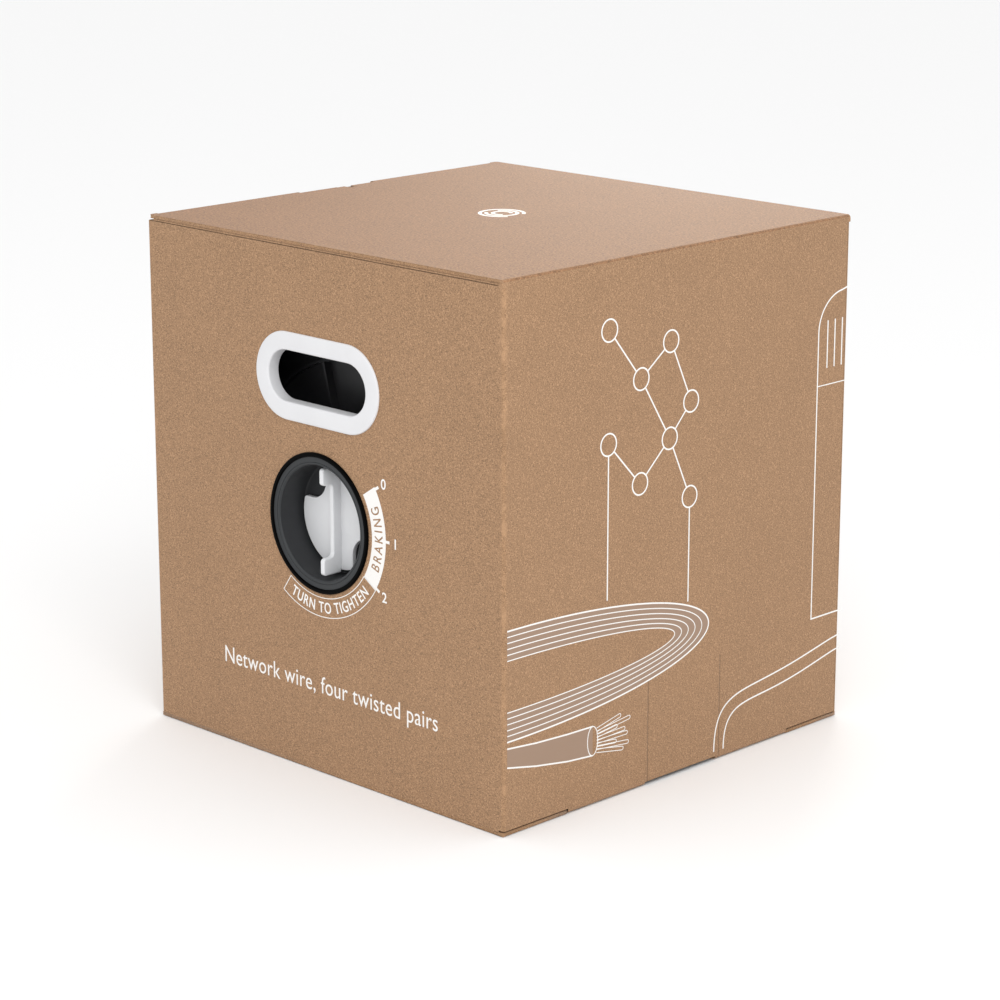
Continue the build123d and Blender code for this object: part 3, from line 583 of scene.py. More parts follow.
KRAFT_TONE = srgb(157, 123, 92)
wall_kraft = kraft("wall_kraft", KRAFT_TONE, "xy", scored=True)
# Painted shade: the board of the lid, base, tuck flap and folds takes a darker, more saturated tone than the
# same board in the walls.
lid_kraft_painted_shade = kraft("lid_kraft_painted_shade", srgb(149, 111, 79), "y", grain=0.55)
inner_kraft = kraft("inner_kraft", KRAFT_TONE, "xy")
white_plastic = plastic("white_plastic_fine", srgb(216, 216, 218), 0.34, mottled=0.015)
bezel_rim_plastic = plastic("bezel_rim_black", srgb(2, 2, 2), 0.3, gloss=0.03, depth=0.02)
bezel_face_plastic = plastic("bezel_face_grey", srgb(51, 53, 55), 0.55, gloss=0.28, depth=0.08)
cup_plastic = plastic("cup_grey", srgb(43, 44, 46), 0.5, gloss=0.3, depth=0.08)
black_plastic = plastic("black_plastic_fine", srgb(34, 34, 36), 0.45, depth=0.06)
reel_plastic = plastic("reel_plastic_fine", srgb(30, 30, 32), 0.42, depth=0.07, scuff=0.35)
knob_plastic = plastic("knob_plastic_fine", srgb(218, 219, 221), 0.36, scuff=0.15, mottled=0.02)
nylon = plastic("nylon_natural", srgb(214, 208, 190), 0.42, depth=0.03, mottled=0.06)
zinc = metal("zinc_plated", srgb(196, 198, 200), 0.28)
spring_steel = metal("spring_steel", srgb(150, 150, 152), 0.3, brushed=True)
lining = friction("friction_lining", srgb(74, 62, 52))
cable_jacket = jacket("cable_jacket_black", srgb(26, 26, 28))
white_ink = ink("white_ink", srgb(237, 235, 232), 0.98)
tint_ink = ink("tint_ink", srgb(150, 126, 108), 0.85)


# -------- carton walls
class Ring:
    """The blank of the four walls, unrolled: u runs round the carton, v up, w into the board.

    It starts at the rear right corner, and runs along the rear, left, front and right walls.
    """

    def __init__(self):
        reach_x = HALF_W - FOLD_RADIUS
        reach_y = HALF_D - FOLD_RADIUS
        self.corner = pi / 2 * FOLD_RADIUS
        self.corners = []
        self.starts = {}
        self.stretches = []
        self.length = 0.0
        for name, x, y, heading, side in (
            ("rear", reach_x, reach_y, 0, 2 * reach_x),
            ("left", -reach_x, reach_y, 90, 2 * reach_y),
            ("front", -reach_x, -reach_y, 180, 2 * reach_x),
            ("right", reach_x, -reach_y, 270, 2 * reach_y),
        ):
            self.corners.append(self.length)
            self.stretches.append((self.length, "corner", (x, y), heading))
            self.length += self.corner
            self.starts[name] = self.length
            self.stretches.append((self.length, "side", (x, y), heading + 90))
            self.length += side

    def place(self, u, v, w):
        start, kind, centre, heading = [s for s in self.stretches if s[0] <= u + 1e-9][-1]
        if kind == "corner":
            turn = radians(heading + 90 * (u - start) / self.corner)
            along = 0.0
        else:
            turn = radians(heading)
            along = u - start
        c, s = cos(turn), sin(turn)
        out = FOLD_RADIUS - w
        z = v
        if v < FOLD_RADIUS and start == self.starts["right"] and self.in_tab(u):
            # The tabs of the right wall turn under the box.
            under = (FOLD_RADIUS - v) / FOLD_RADIUS
            out = (FOLD_RADIUS - w) * cos(under)
            z = FOLD_RADIUS - (FOLD_RADIUS - w) * sin(under)
        return (centre[0] + out * c - along * s, centre[1] + out * s + along * c, z)

    def on(self, wall, distance):
        """u of a point on a wall, from its distance to where that wall meets the one before it."""
        return self.starts[wall] - FOLD_RADIUS + distance

    def in_tab(self, u):
        distance = u - self.starts["right"] + FOLD_RADIUS
        return any(start - 1e-6 <= distance <= end + 1e-6 for start, end in (TAB_FIRST, TAB_SECOND))

    def folds(self):
        """Lines across the blank where its skins are cut so that they can turn the corners."""
        lines = []
        for start in self.corners:
            lines += [start + self.corner * k / FOLD_STEPS for k in range(FOLD_STEPS + 1)]
            lines += [start - 0.3 * MM, start + self.corner + 0.3 * MM]
        return [line for line in lines if 0 < line < self.length]


ring = Ring()
FULL_D = 2 * HALF_D
FULL_W = 2 * HALF_W
FRONT_TOP = WALL_TOP - 1.8 * MM
FOLD_START = WALL_TOP - 2.6 * MM
TAB_RUN = FOLD_RADIUS * (1 - pi / 2)
SEAM = 0.4 * MM
LOCK_TAB = (TAB_FIRST[1] + 0.5 * MM, 178.5 * MM)
LOCK_TAB_TOP = WALL_TOP + 0.9 * MM
CORNER_STUB = 5 * MM
CORNER_GAP = 6.5 * MM
SLOT_FOOT = WALL_FOOT + 1.2 * MM
SLEEVE_SLOT = (103 * MM, 42.5 * MM)
HUB_HOLE = 44.2 * MM
OUTLET_HOLE = 16.3 * MM


def on_wall(wall, *points):
    """Points of the blank, from their distance along a wall and their height."""
    return [(ring.on(wall, distance), v) for distance, v in points]


front_end = FULL_W - CORNER_STUB
left_end = FULL_D - CORNER_GAP
right_corner = ring.starts["right"] - 0.5 * ring.corner
rear_corner = ring.starts["left"] - ring.corner
blank_end = ring.length - SEAM
wall_outline = [(0, FRONT_TOP), (0, WALL_FOOT)]
wall_outline += on_wall("front", (front_end, WALL_FOOT), (front_end, SLOT_FOOT))
for (near, far), foot, last_foot in ((TAB_FIRST, SLOT_FOOT, WALL_FOOT), (TAB_SECOND, WALL_FOOT, SLOT_FOOT)):
    wall_outline += on_wall("right", (near, foot), (near, TAB_RUN), (far, TAB_RUN), (far, last_foot))
wall_outline += [(blank_end, SLOT_FOOT), (blank_end, FOLD_START)]
wall_outline += [(right_corner, FOLD_START), (right_corner, WALL_TOP)]
wall_outline += on_wall("front", (front_end, WALL_TOP), (front_end, FRONT_TOP))
wall_outline += on_wall("left", (left_end, FRONT_TOP), (left_end, WALL_TOP))
lock_near, lock_far = [FULL_D - edge for edge in LOCK_TAB]
wall_outline += on_wall("left", (lock_near, WALL_TOP), (lock_near, LOCK_TAB_TOP))
wall_outline += on_wall("left", (lock_far, LOCK_TAB_TOP), (lock_far, WALL_TOP))
wall_outline += [(rear_corner, WALL_TOP), (rear_corner, FRONT_TOP)]
wall_loops = [wall_outline]
for wall in ("rear", "front"):
    middle = ring.on(wall, HALF_W)
    wall_loops += [stadium((middle, HANDLE_Z), *SLEEVE_SLOT), circle((middle, AXIS_Z), HUB_HOLE)]
wall_loops.append(circle((ring.on("left", HALF_D), OUTLET_Z), OUTLET_HOLE, 48))
tab_folds = [TAB_RUN * k / 3 for k in range(3)] + [FOLD_RADIUS * k / 6 for k in range(1, 7)]
carton_walls = board("carton_walls", wall_loops, 0, ring.place, ((0, ring.folds()), (1, tab_folds)))
smooth_by_angle(carton_walls, 20)
dress(carton_walls, wall_kraft, "carton", "kraft_board",
      "front_panel", "rear_panel", "left_panel", "right_panel")

# The front and rear walls roll over into the liners: a rounded ledge under the lid.
LEDGE_FOOT = FRONT_TOP + 0.35 * MM
LEDGE_TOP = WALL_TOP - 0.12 * MM
LEDGE_BACK = -HALF_D + 2 * BOARD
ledge_section = rounded_profile([
    (-HALF_D, LEDGE_FOOT, 0.45), (LEDGE_BACK, LEDGE_FOOT, 0.45),
    (LEDGE_BACK, LEDGE_TOP, 0.8), (-HALF_D, LEDGE_TOP, 0.8),
])
front_ledge = bar("front_ledge", ledge_section, -HALF_W + CORNER_GAP, HALF_W - CORNER_STUB - 0.2 * MM, 0)
dress(front_ledge, wall_kraft, "carton", "kraft_board")
rear_twin(front_ledge, "rear_ledge", "kraft_board")

# Liners inside the front and rear walls.
liner_low = (-HALF_W + BOARD + 0.3 * MM, 5.0 * MM)
liner_high = (HALF_W - BOARD - 0.3 * MM, FRONT_TOP)
liner_loops = [rectangle(liner_low, liner_high)]
liner_loops += [stadium((0, HANDLE_Z), *SLEEVE_SLOT), circle((0, AXIS_Z), HUB_HOLE)]
front_liner = board("front_liner_board", liner_loops, 0, lambda u, v, w: (u, -HALF_D + BOARD + w, v))
dress(front_liner, inner_kraft, "carton", "kraft_board", "front_liner")
rear_twin(front_liner, "rear_liner_board", "kraft_board", "rear_liner")

# ---- Base ----
BASE_X = HALF_W - 0.9 * MM
NOTCH_X = HALF_W - 10 * MM
FOLD_X = HALF_W - FOLD_RADIUS - 0.05 * MM
SLIT = 0.5 * MM
RIM_WIDTH = 4 * MM
NOTCH_SLOPE = 2 * MM
tab_start = along_side(TAB_FIRST[0])
tab_low = along_side(TAB_FIRST[1])
tab_high = along_side(TAB_SECOND[0])
tab_end = along_side(TAB_SECOND[1])
base_outline = [(-BASE_X, -HALF_D), (BASE_X, -HALF_D), (BASE_X, tab_start - SLIT), (FOLD_X, tab_start - SLIT)]
base_outline += [(FOLD_X, tab_low + SLIT), (NOTCH_X, tab_low + NOTCH_SLOPE)]
base_outline += [(NOTCH_X, tab_high - NOTCH_SLOPE), (FOLD_X, tab_high - SLIT)]
base_outline += [(FOLD_X, tab_end + SLIT), (BASE_X, tab_end + SLIT)]
base_outline += [(BASE_X, HALF_D), (-BASE_X, HALF_D)]
base_hole = rectangle((RIM_WIDTH - BASE_X, RIM_WIDTH - HALF_D), (FOLD_X - 10 * MM, HALF_D - RIM_WIDTH))
base_board = rimmed_board("base_board", base_outline, base_hole, lambda u, v, w: (u, v, w))
dress(base_board, lid_kraft_painted_shade, "carton", "kraft_board", "bottom_panel")
tone_edges(base_board, inner_kraft)

# -------- lid, tuck flap and their folds
LID_HALF = HALF_D - 0.2 * MM
TUCK_HALF = 165 * MM
lid_left = lid_low.x
LID_CORNER = 2.5 * MM
LID_NOTCH = 6 * MM
FINGER_NOTCH = 12 * MM
finger_low = along_side(179 * MM)
finger_high = along_side(185.5 * MM)
lid_edge = lid_left + BOARD
notch_x = lid_left + LID_NOTCH
finger_x = lid_left + FINGER_NOTCH
LID_RIM = 3 * MM
lid_outline = [(LID_FOLD_X, -LID_HALF), (LID_FOLD_X, LID_HALF)]
lid_outline += arc((lid_left + LID_CORNER, LID_HALF - LID_CORNER), LID_CORNER, 90, 180, 8)
lid_outline += [(lid_left, TUCK_HALF), (lid_edge, TUCK_HALF), (lid_edge, tab_high), (notch_x, tab_high)]
lid_outline += [(notch_x, finger_high), (finger_x, finger_high), (finger_x, finger_low)]
lid_outline += [(notch_x, finger_low), (notch_x, tab_low), (lid_edge, tab_low)]
lid_outline += [(lid_edge, -TUCK_HALF), (lid_left, -TUCK_HALF)]
lid_outline += arc((lid_left + LID_CORNER, -LID_HALF + LID_CORNER), LID_CORNER, 180, 270, 8)
lid_hole = rectangle((finger_x + 2 * MM, LID_RIM - LID_HALF), (LID_FOLD_X - LID_RIM, LID_HALF - LID_RIM))
lid_board = rimmed_board("lid_board", lid_outline, lid_hole, lambda u, v, w: (u, v, TOP - w))
dress(lid_board, lid_kraft_painted_shade, "lid", "kraft_board", "lid_panel")
tone_edges(lid_board, inner_kraft)


def fold_strip(name, outer, inner, start, end, blend_line):
    """A folded strip of board between two panels, as a row of (x, z) points outside and inside."""
    strip = bar(name, outer + inner[::-1], start, end, 1, sharp=40)
    # Painted shade: the strip's flat faces take the lid's darker tone, its upright faces the walls' tone.
    strip.data.materials.append(lid_kraft_painted_shade)
    tone_edges(strip, inner_kraft)
    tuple(blend_line[0])
    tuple(blend_line[1])
    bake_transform(strip)
    return strip


crease_centre = (HALF_W - FOLD_RADIUS, TOP - FOLD_RADIUS)
outer_crease = [(HALF_W, FOLD_START)] + arc(crease_centre, FOLD_RADIUS, 0, 90, 10) + [(LID_FOLD_X, TOP)]
inner_crease = [(HALF_W - BOARD, FOLD_START)]
inner_crease += arc(crease_centre, FOLD_RADIUS - BOARD, 0, 90, 10) + [(LID_FOLD_X, TOP - BOARD)]
fold_strip(
    "lid_crease", outer_crease, inner_crease, -LID_HALF, LID_HALF,
    ((HALF_W, 0, FOLD_START), (LID_FOLD_X, 0, TOP)),
)

# The tuck flap leans inwards from its fold along the lid's left edge.
TUCK_LEAN = radians(5.5)
TUCK_DEPTH = 50 * MM
TUCK_CORNER = 14 * MM
TUCK_X = -(HALF_W - 2 * BOARD - 0.4 * MM)
TUCK_NOTCH = 10 * MM
TUCK_START = 2 * MM


def tuck_place(u, v, w):
    """u along the fold, v down the flap, w from its outer face inwards."""
    across = BOARD - w
    x = TUCK_X - across * cos(TUCK_LEAN) + v * sin(TUCK_LEAN)
    z = WALL_TOP - v * cos(TUCK_LEAN) - across * sin(TUCK_LEAN)
    return (x, u, z)


tuck_outline = [(-TUCK_HALF, TUCK_START), (tab_low, TUCK_START), (tab_low, TUCK_NOTCH)]
tuck_outline += [(tab_high, TUCK_NOTCH), (tab_high, TUCK_START), (TUCK_HALF, TUCK_START)]
for side, start in ((1, 0), (-1, 90)):
    corner = (side * (TUCK_HALF - TUCK_CORNER), TUCK_DEPTH - TUCK_CORNER)
    tuck_outline += arc(corner, TUCK_CORNER, start, start + 90, 10)
tuck_board = board("tuck_board", [tuck_outline], 0, tuck_place)
dress(tuck_board, lid_kraft_painted_shade, "tuck", "kraft_board", "tuck_flap")

TUCK_BEND = (0.4 * MM, 1.2 * MM, TUCK_START)
tuck_outer = arc((lid_edge, WALL_TOP), BOARD, 90, 180, 8)
tuck_outer += [tuck_place(0, v, 0)[0::2] for v in TUCK_BEND]
tuck_inner = [(lid_edge, WALL_TOP), (lid_edge + 0.2 * MM, WALL_TOP - 0.1 * MM)]
tuck_inner += [tuck_place(0, v, BOARD)[0::2] for v in TUCK_BEND]
tuck_line = ((lid_edge, 0, WALL_TOP - 0.25 * MM), (TUCK_X - BOARD / 2, 0, WALL_TOP - TUCK_START))
for end, start, stop in (("front", -TUCK_HALF, tab_low), ("rear", tab_high, TUCK_HALF)):
    fold_strip("tuck_crease_" + end, tuck_outer, tuck_inner, start, stop, tuck_line)

# -------- moulded fittings
def about_reel(depth, side, up):
    return (side, depth, AXIS_Z + up)


def about_outlet(depth, side, up):
    return (depth, side, OUTLET_Z + up)


GROMMET_RADIUS = 17.75 * MM
GROMMET_REACH = 30.25 * MM
GROMMET_WIDTH = 12.75 * MM
SLEEVE_WALL = 3.0 * MM
grommet_profile = rounded_profile([
    (grommet_low.y, 0, 1.3),
    (grommet_low.y - 0.05 * MM, GROMMET_WIDTH / 2, 0),
    (grommet_low.y, GROMMET_WIDTH, 1.1),
    (-HALF_D, GROMMET_WIDTH, 0.1),
    (-HALF_D, SLEEVE_WALL, 0),
    (grommet_high.y, SLEEVE_WALL, 0.3),
    (grommet_high.y, 0, 0.6),
])
front_grommet = stadium_ring("front_hand_grommet", grommet_profile, HANDLE_Z, GROMMET_REACH, GROMMET_RADIUS)
dress(front_grommet, white_plastic, "carton", "white_plastic", "front_handle_grommet")
rear_twin(front_grommet, "rear_hand_grommet", "white_plastic", "rear_handle_grommet")

OUTLET_BORE = 12.5 * MM
OUTLET_SLEEVE = 15.8 * MM
OUTLET_FLANGE = 22 * MM
outlet_profile = rounded_profile([
    (outlet_low.x, OUTLET_BORE, 1.4),
    (outlet_low.x, OUTLET_FLANGE, 1.2),
    (-HALF_W, OUTLET_FLANGE, 0.1),
    (-HALF_W, OUTLET_SLEEVE, 0),
    (outlet_high.x, OUTLET_SLEEVE, 0.3),
    (outlet_high.x, OUTLET_BORE, 0.8),
], 6)
outlet_ring = revolved("outlet_grommet", outlet_profile, about_outlet, 96)
dress(outlet_ring, white_plastic, "carton", "white_plastic", "cable_outlet_grommet")

# ---- Hub cup: black rim, grey face and recess ----
CUP_INNER = 40 * MM
CUP_OUTER = 43.5 * MM
SPIGOT_HOLE = 9.05 * MM
RECESS_FLOOR = -HALF_D + 22 * MM
FLOOR_BACK = RECESS_FLOOR + 3 * MM
CUP_END = bezel_high.y
RIM_FRONT = bezel_low.y
FACE_FRONT = -HALF_D - 0.6 * MM
BEZEL_OUTER = bezel_high.x
FACE_OUTER = 45.7 * MM
MOUTH_CHAMFER = 1.1 * MM
GROOVE = (42.0 * MM, 42.35 * MM)
GROOVE_FLOOR = FACE_FRONT + 0.5 * MM

cup_profile = rounded_profile([
    (RECESS_FLOOR, SPIGOT_HOLE, 0.3),
    (RECESS_FLOOR, CUP_INNER - 0.5 * MM, 1.2),
    (FACE_FRONT + MOUTH_CHAMFER, CUP_INNER, 0.3),
    (FACE_FRONT, CUP_INNER + MOUTH_CHAMFER, 0.3),
    (FACE_FRONT, GROOVE[0], 0.08),
    (GROOVE_FLOOR, GROOVE[0], 0),
    (GROOVE_FLOOR, GROOVE[1], 0),
    (FACE_FRONT, GROOVE[1], 0.08),
    (FACE_FRONT, FACE_OUTER, 0.3),
    (RIM_FRONT, FACE_OUTER + 0.4 * MM, 0.45),
    (RIM_FRONT, BEZEL_OUTER, 1.2),
    (-HALF_D, BEZEL_OUTER, 0.2),
    (-HALF_D, CUP_OUTER, 0),
    (CUP_END, CUP_OUTER, 0.4),
    (CUP_END, CUP_INNER, 0.4),
    (FLOOR_BACK, CUP_INNER, 0.5),
    (FLOOR_BACK, SPIGOT_HOLE, 0.1),
], 5)
front_cup = revolved("front_hub_cup", cup_profile, about_reel, 192)
for material in (cup_plastic, bezel_face_plastic, bezel_rim_plastic):
    front_cup.data.materials.append(material)
for face in front_cup.data.polygons:
    if hypot(face.center.x, face.center.z - AXIS_Z) > FACE_OUTER - 0.05 * MM:
        face.material_index = 2
    elif face.center.y < -HALF_D + 0.2 * MM:
        face.material_index = 1
mount(front_cup, "carton", "black_plastic", "tension_bezel")

# The rear cup is blind: six ribs and a boss stiffen it.
rear_twin(front_cup, "rear_cup_shell", "black_plastic", "rear_hub_cup")
RIB_COUNT = 6
RIB_THICK = 2.4 * MM
RIB_FRONT = HALF_D - 10 * MM
RIB_BACK = HALF_D - 22.5 * MM
BOSS = 10 * MM
boss_profile = rounded_profile([
    (RIB_BACK, 0.1 * MM, 0), (RIB_BACK, BOSS, 0), (RIB_FRONT, BOSS, 0.8), (RIB_FRONT, 0.1 * MM, 0),
])
web_pieces = [revolved("rear_cup_webs", boss_profile, about_reel, 72)]
for k in range(RIB_COUNT):
    outline = rectangle((BOSS - 1 * MM, -RIB_THICK / 2), (CUP_INNER - 0.2 * MM, RIB_THICK / 2))
    rib = slab("rib", [outline], RIB_FRONT - RIB_BACK, edge=0.3 * MM)
    turn = Matrix.Rotation(radians(360 / RIB_COUNT * k), 4, "Y") @ Matrix.Rotation(radians(90), 4, "X")
    rib.data.transform(Matrix.Translation((0, (RIB_FRONT + RIB_BACK) / 2, AXIS_Z)) @ turn)
    web_pieces.append(rib)
rear_webs = join("rear_cup_webs", web_pieces)
smooth_by_angle(rear_webs)
dress(rear_webs, cup_plastic, "carton", "black_plastic", "rear_cup_webs")

# ---- Knob ----
KNOB_RADIUS = 36 * MM
KNOB_THICK = 3.5 * MM
KNOB_FACE = -HALF_D + 18 * MM
NOTCH_AT = (13 * MM, 10 * MM)
GRIP_THICK = 4 * MM
GRIP_TOP = KNOB_FACE - 7 * MM
HORN_TOP = KNOB_FACE - 16 * MM
HORN_INNER = 25.5 * MM
HORN_OUTER = 37.5 * MM
SPIGOT = 9 * MM
SPIGOT_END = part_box("tension_knob")[1].y
NOTCH_RADIUS = 14 * MM
HORN_ROUND = 2.5 * MM


def knob_outline():
    """A disc with one finger notch in its upper left quarter and a twin in the lower right."""
    inside = KNOB_RADIUS - HORN_ROUND
    upright = (-NOTCH_AT[0] + HORN_ROUND, sqrt(inside ** 2 - (NOTCH_AT[0] - HORN_ROUND) ** 2))
    level = (-sqrt(inside ** 2 - (NOTCH_AT[1] - HORN_ROUND) ** 2), NOTCH_AT[1] - HORN_ROUND)
    first = degrees(atan2(upright[1], upright[0]))
    last = degrees(atan2(level[1], level[0]))
    half = arc((0, 0), KNOB_RADIUS, last - 180, first, 60)
    half += arc(upright, HORN_ROUND, first, 180, 8)
    half += arc((-NOTCH_AT[0] - NOTCH_RADIUS, NOTCH_AT[1] + NOTCH_RADIUS), NOTCH_RADIUS, 0, -90, 14)
    half += arc(level, HORN_ROUND, 90, last, 8)
    return half + [(-x, -z) for x, z in half]


knob_disc = slab("knob_disc", [knob_outline()], KNOB_THICK, edge=0.55 * MM)
bend(knob_disc, lambda u, v, w: (u, KNOB_FACE + KNOB_THICK / 2 - w, AXIS_Z + v))
grip_foot = KNOB_FACE + 1.5 * MM
grip_end = KNOB_RADIUS - 0.8 * MM
grip_half = [
    (grip_foot, -grip_end, 0), (KNOB_FACE - 0.2 * MM, -grip_end, 0), (KNOB_FACE - 0.2 * MM, -HORN_OUTER, 0.6),
    (HORN_TOP, -HORN_OUTER, 2.4), (HORN_TOP, -HORN_INNER, 2.4), (GRIP_TOP, -HORN_INNER, 3.2),
]
grip_profile = rounded_profile(grip_half + [(y, -across, radius) for y, across, radius in grip_half[::-1]], 8)
knob_grip = slab("knob_grip", [grip_profile], GRIP_THICK, edge=0.9 * MM)
bend(knob_grip, lambda u, v, w: (w, u, AXIS_Z + v))
spigot_profile = rectangle((KNOB_FACE + KNOB_THICK - 0.5 * MM, 0.1 * MM), (SPIGOT_END, SPIGOT))
knob_spigot = revolved("knob_spigot", spigot_profile, about_reel, 64)
knob = join("knob_body", [knob_disc, knob_grip, knob_spigot])
recalculate(knob)
smooth_by_angle(knob, 32)
dress(knob, knob_plastic, "knob", "knob_plastic", "tension_knob")

# -------- wound cable
CABLE_RADIUS = 3.0 * MM
PACK_TOP = pack_high.x
PITCH = 6.04 * MM
pack_start = pack_low.y + CABLE_RADIUS + 0.2 * MM
pack_end = pack_high.y - CABLE_RADIUS - 0.2 * MM
dice = random.Random(7)


def helix_tube(name, stations, radius, sides):
    """A capped tube about the reel's axis, through (angle, reach, y) stations."""
    verts = []
    for angle, reach, y in stations:
        for j in range(sides):
            lift = 2 * pi * j / sides
            out = reach + radius * cos(lift)
            verts.append((out * sin(angle), y + radius * sin(lift), AXIS_Z + out * cos(angle)))
    last = (len(stations) - 1) * sides
    caps = [tuple(range(sides)), tuple(range(last, last + sides))]
    return solid(name, verts, quads(len(stations), sides, wrap_rows=False) + caps, 60)


def winding(name, radius, start, end, hand, steps, sides, wander):
    """One layer of cable, laid slightly unevenly."""
    count = int(abs(end - start) / PITCH * steps)
    waves = [(dice.uniform(0.15, 0.9), dice.uniform(0, 6.28), dice.uniform(0.3, 1.0)) for _ in range(5)]
    stations = []
    for k in range(count + 1):
        turn = k / steps
        drift = sum(sin(2 * pi * rate * turn + shift) * size for rate, shift, size in waves) / 3
        y = start + (end - start) * k / count + wander * drift
        stations.append((hand * 2 * pi * turn, radius - abs(wander * drift) * 0.4, y))
    return helix_tube(name, stations, CABLE_RADIUS, sides)


TOP_LAYER = PACK_TOP - CABLE_RADIUS
LOWER_LAYER = TOP_LAYER - 5.3 * MM
TOP_LAYER_END = 88 * MM
layer_top = winding("winding_top", TOP_LAYER, pack_start, TOP_LAYER_END, 1, 72, 10, 0.35 * MM)
layer_lower = winding("winding_lower", LOWER_LAYER, pack_start, pack_end, -1, 60, 8, 0.15 * MM)
core_profile = rectangle((pack_low.y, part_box("reel_drum")[1].x), (pack_high.y, LOWER_LAYER))
core = revolved("winding_core", core_profile, about_reel, 96)
cable_wound = join("cable_winding", [layer_top, layer_lower, core])
dress(cable_wound, cable_jacket, "reel", "cable_jacket", "cable_pack")

# A short band of tape holds the cable's end to the turns beside it.
tape_turn = 2 * pi * (TOP_LAYER_END - pack_start) / PITCH
TAPE_LENGTH = 46 * MM
TAPE_WIDTH = 24 * MM
TAPE_STEPS = 24
tape_verts = []
for k in range(TAPE_STEPS + 1):
    angle = tape_turn + (k / TAPE_STEPS - 0.6) * TAPE_LENGTH / PACK_TOP
    for j in range(TAPE_STEPS + 1):
        y = TOP_LAYER_END - TAPE_WIDTH + j / TAPE_STEPS * (TAPE_WIDTH + CABLE_RADIUS)
        dip = 0.5 * MM * (1 - abs(cos(pi * (y - TOP_LAYER_END) / PITCH)))
        reach = PACK_TOP + 0.25 * MM - dip
        tape_verts.append((reach * sin(angle), y, AXIS_Z + reach * cos(angle)))
tape_faces = quads(TAPE_STEPS + 1, TAPE_STEPS + 1, wrap_rows=False, wrap_columns=False)
tape = mesh_object("end_tape", tape_verts, tape_faces)
tape.data.shade_smooth()
dress(tape, nylon, "reel", "nylon")

# ---- The brake's return spring, squeezed between the pressure plate and its retainer ----
SPRING_WIRE = 0.8 * MM
SPRING_TURNS = 2.25
SPRING_STEPS = 160
spring_climb = spring_high.y - spring_low.y - 2 * SPRING_WIRE
spring_stations = [
    (
        2 * pi * SPRING_TURNS * k / SPRING_STEPS,
        spring_high.x - SPRING_WIRE,
        spring_low.y + SPRING_WIRE + spring_climb * k / SPRING_STEPS,
    )
    for k in range(SPRING_STEPS + 1)
]
spring = helix_tube("return_spring_coil", spring_stations, SPRING_WIRE, 12)
spring.data.materials.append(spring_steel)
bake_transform(spring)
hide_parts("return_spring")

# -------- CAD nodes that keep their shape
flange_pieces = [
    f"reel_{end}_{part}"
    for end in ("front", "rear")
    for part in ("hub", "flange", "rim", "ring_rib", "ribs")
]
FINISHES = (
    (inner_kraft, ("glue_flap", "bottom_flap_front", "bottom_flap_rear")),
    (white_plastic, ("front_handle_backing", "rear_handle_backing", "cable_outlet_ring")),
    (black_plastic, ("front_lock_ring", "rear_lock_ring")),
    (nylon, ("tension_cam", "pressure_plate", "front_bushing", "rear_bushing")),
    (zinc, ("knob_washer", "knob_screw", "spring_retainer", "brake_disc", "reel_tie_bolts", "reel_tie_nuts")),
    (lining, ("brake_pad",)),
    (reel_plastic, ("reel_drum", *flange_pieces)),
)
for finish, node_names in FINISHES:
    for node_name in node_names:
        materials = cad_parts[node_name].data.materials
        materials.clear()
        materials.append(finish)

# -------- printed artwork
INK_THICK = 0.06 * MM
LIFT_STEP = 0.004 * MM
LIFT_COUNT = 7


def on_front(u, v, w):
    return (u, -HALF_D - INK_THICK / 2 - w, v)


def on_right(u, v, w):
    return (HALF_W + INK_THICK / 2 + w, along_side(u), v)


def on_top(u, v, w):
    return (u, v, TOP + INK_THICK / 2 + w)


def stroke(points, width, closed=False):
    """The loops of an inked line of this width: one for an open line, two for a closed one."""
    left, right = [], []
    for k, point in enumerate(points):
        here = Vector(point)
        ahead = (Vector(points[(k + 1) % len(points)]) - here).normalized()
        behind = (here - Vector(points[k - 1])).normalized()
        if k == 0 and not closed:
            behind = ahead
        if k == len(points) - 1 and not closed:
            ahead = behind
        mean = (ahead + behind).normalized()
        side = Vector((-mean.y, mean.x)) * (width / 2 / max(0.5, mean.dot(ahead)))
        left.append(tuple(here + side))
        right.append(tuple(here - side))
    return [left, right] if closed else [left + right[::-1]]


def type_loops(word, spread=0.0):
    """Closed outlines of a word in the built-in font, at the font's own size."""
    curve = bpy.data.curves.new("type", "FONT")
    curve.body = word
    curve.space_character = 1 + spread
    holder = new_object("type", curve)
    bpy.context.view_layer.update()
    shape = holder.to_curve(bpy.context.evaluated_depsgraph_get())
    loops = []
    for spline in shape.splines:
        points = list(spline.bezier_points)
        loop = []
        for here, after in zip(points, points[1:] + points[:1]):
            steps = interpolate_bezier(here.co, here.handle_right, after.handle_left, after.co, 6)
            loop += [(p.x, p.y) for p in steps[:-1]]
        loops.append(loop)
    holder.to_curve_clear()
    bpy.data.objects.remove(holder)
    bpy.data.curves.remove(curve)
    return loops


CAPITAL = max(y for loop in type_loops("H") for _, y in loop)


def shifted(loops, u, v):
    return [[(x + u, y + v) for x, y in loop] for loop in loops]


def word_loops(word, cap, squeeze=1.0, spread=0.0):
    """A word with capitals of this height, its baseline on v = 0 and its middle on u = 0."""
    scale = cap / CAPITAL
    loops = [[(x * scale * squeeze, y * scale) for x, y in loop] for loop in type_loops(word, spread)]
    across = [x for loop in loops for x, _ in loop]
    return shifted(loops, -(min(across) + max(across)) / 2, 0)


def dial_point(radius, direction):
    """A point of the dial, from its distance and its direction in degrees from the knob's axis."""
    return (radius * cos(radians(direction)), AXIS_Z + radius * sin(radians(direction)))


def along_arc(loops, radius, middle):
    """Set a word round the dial: its baseline on the radius, its tops towards the centre."""
    return [[dial_point(radius - v, middle + degrees(u / radius)) for u, v in loop] for loop in loops]


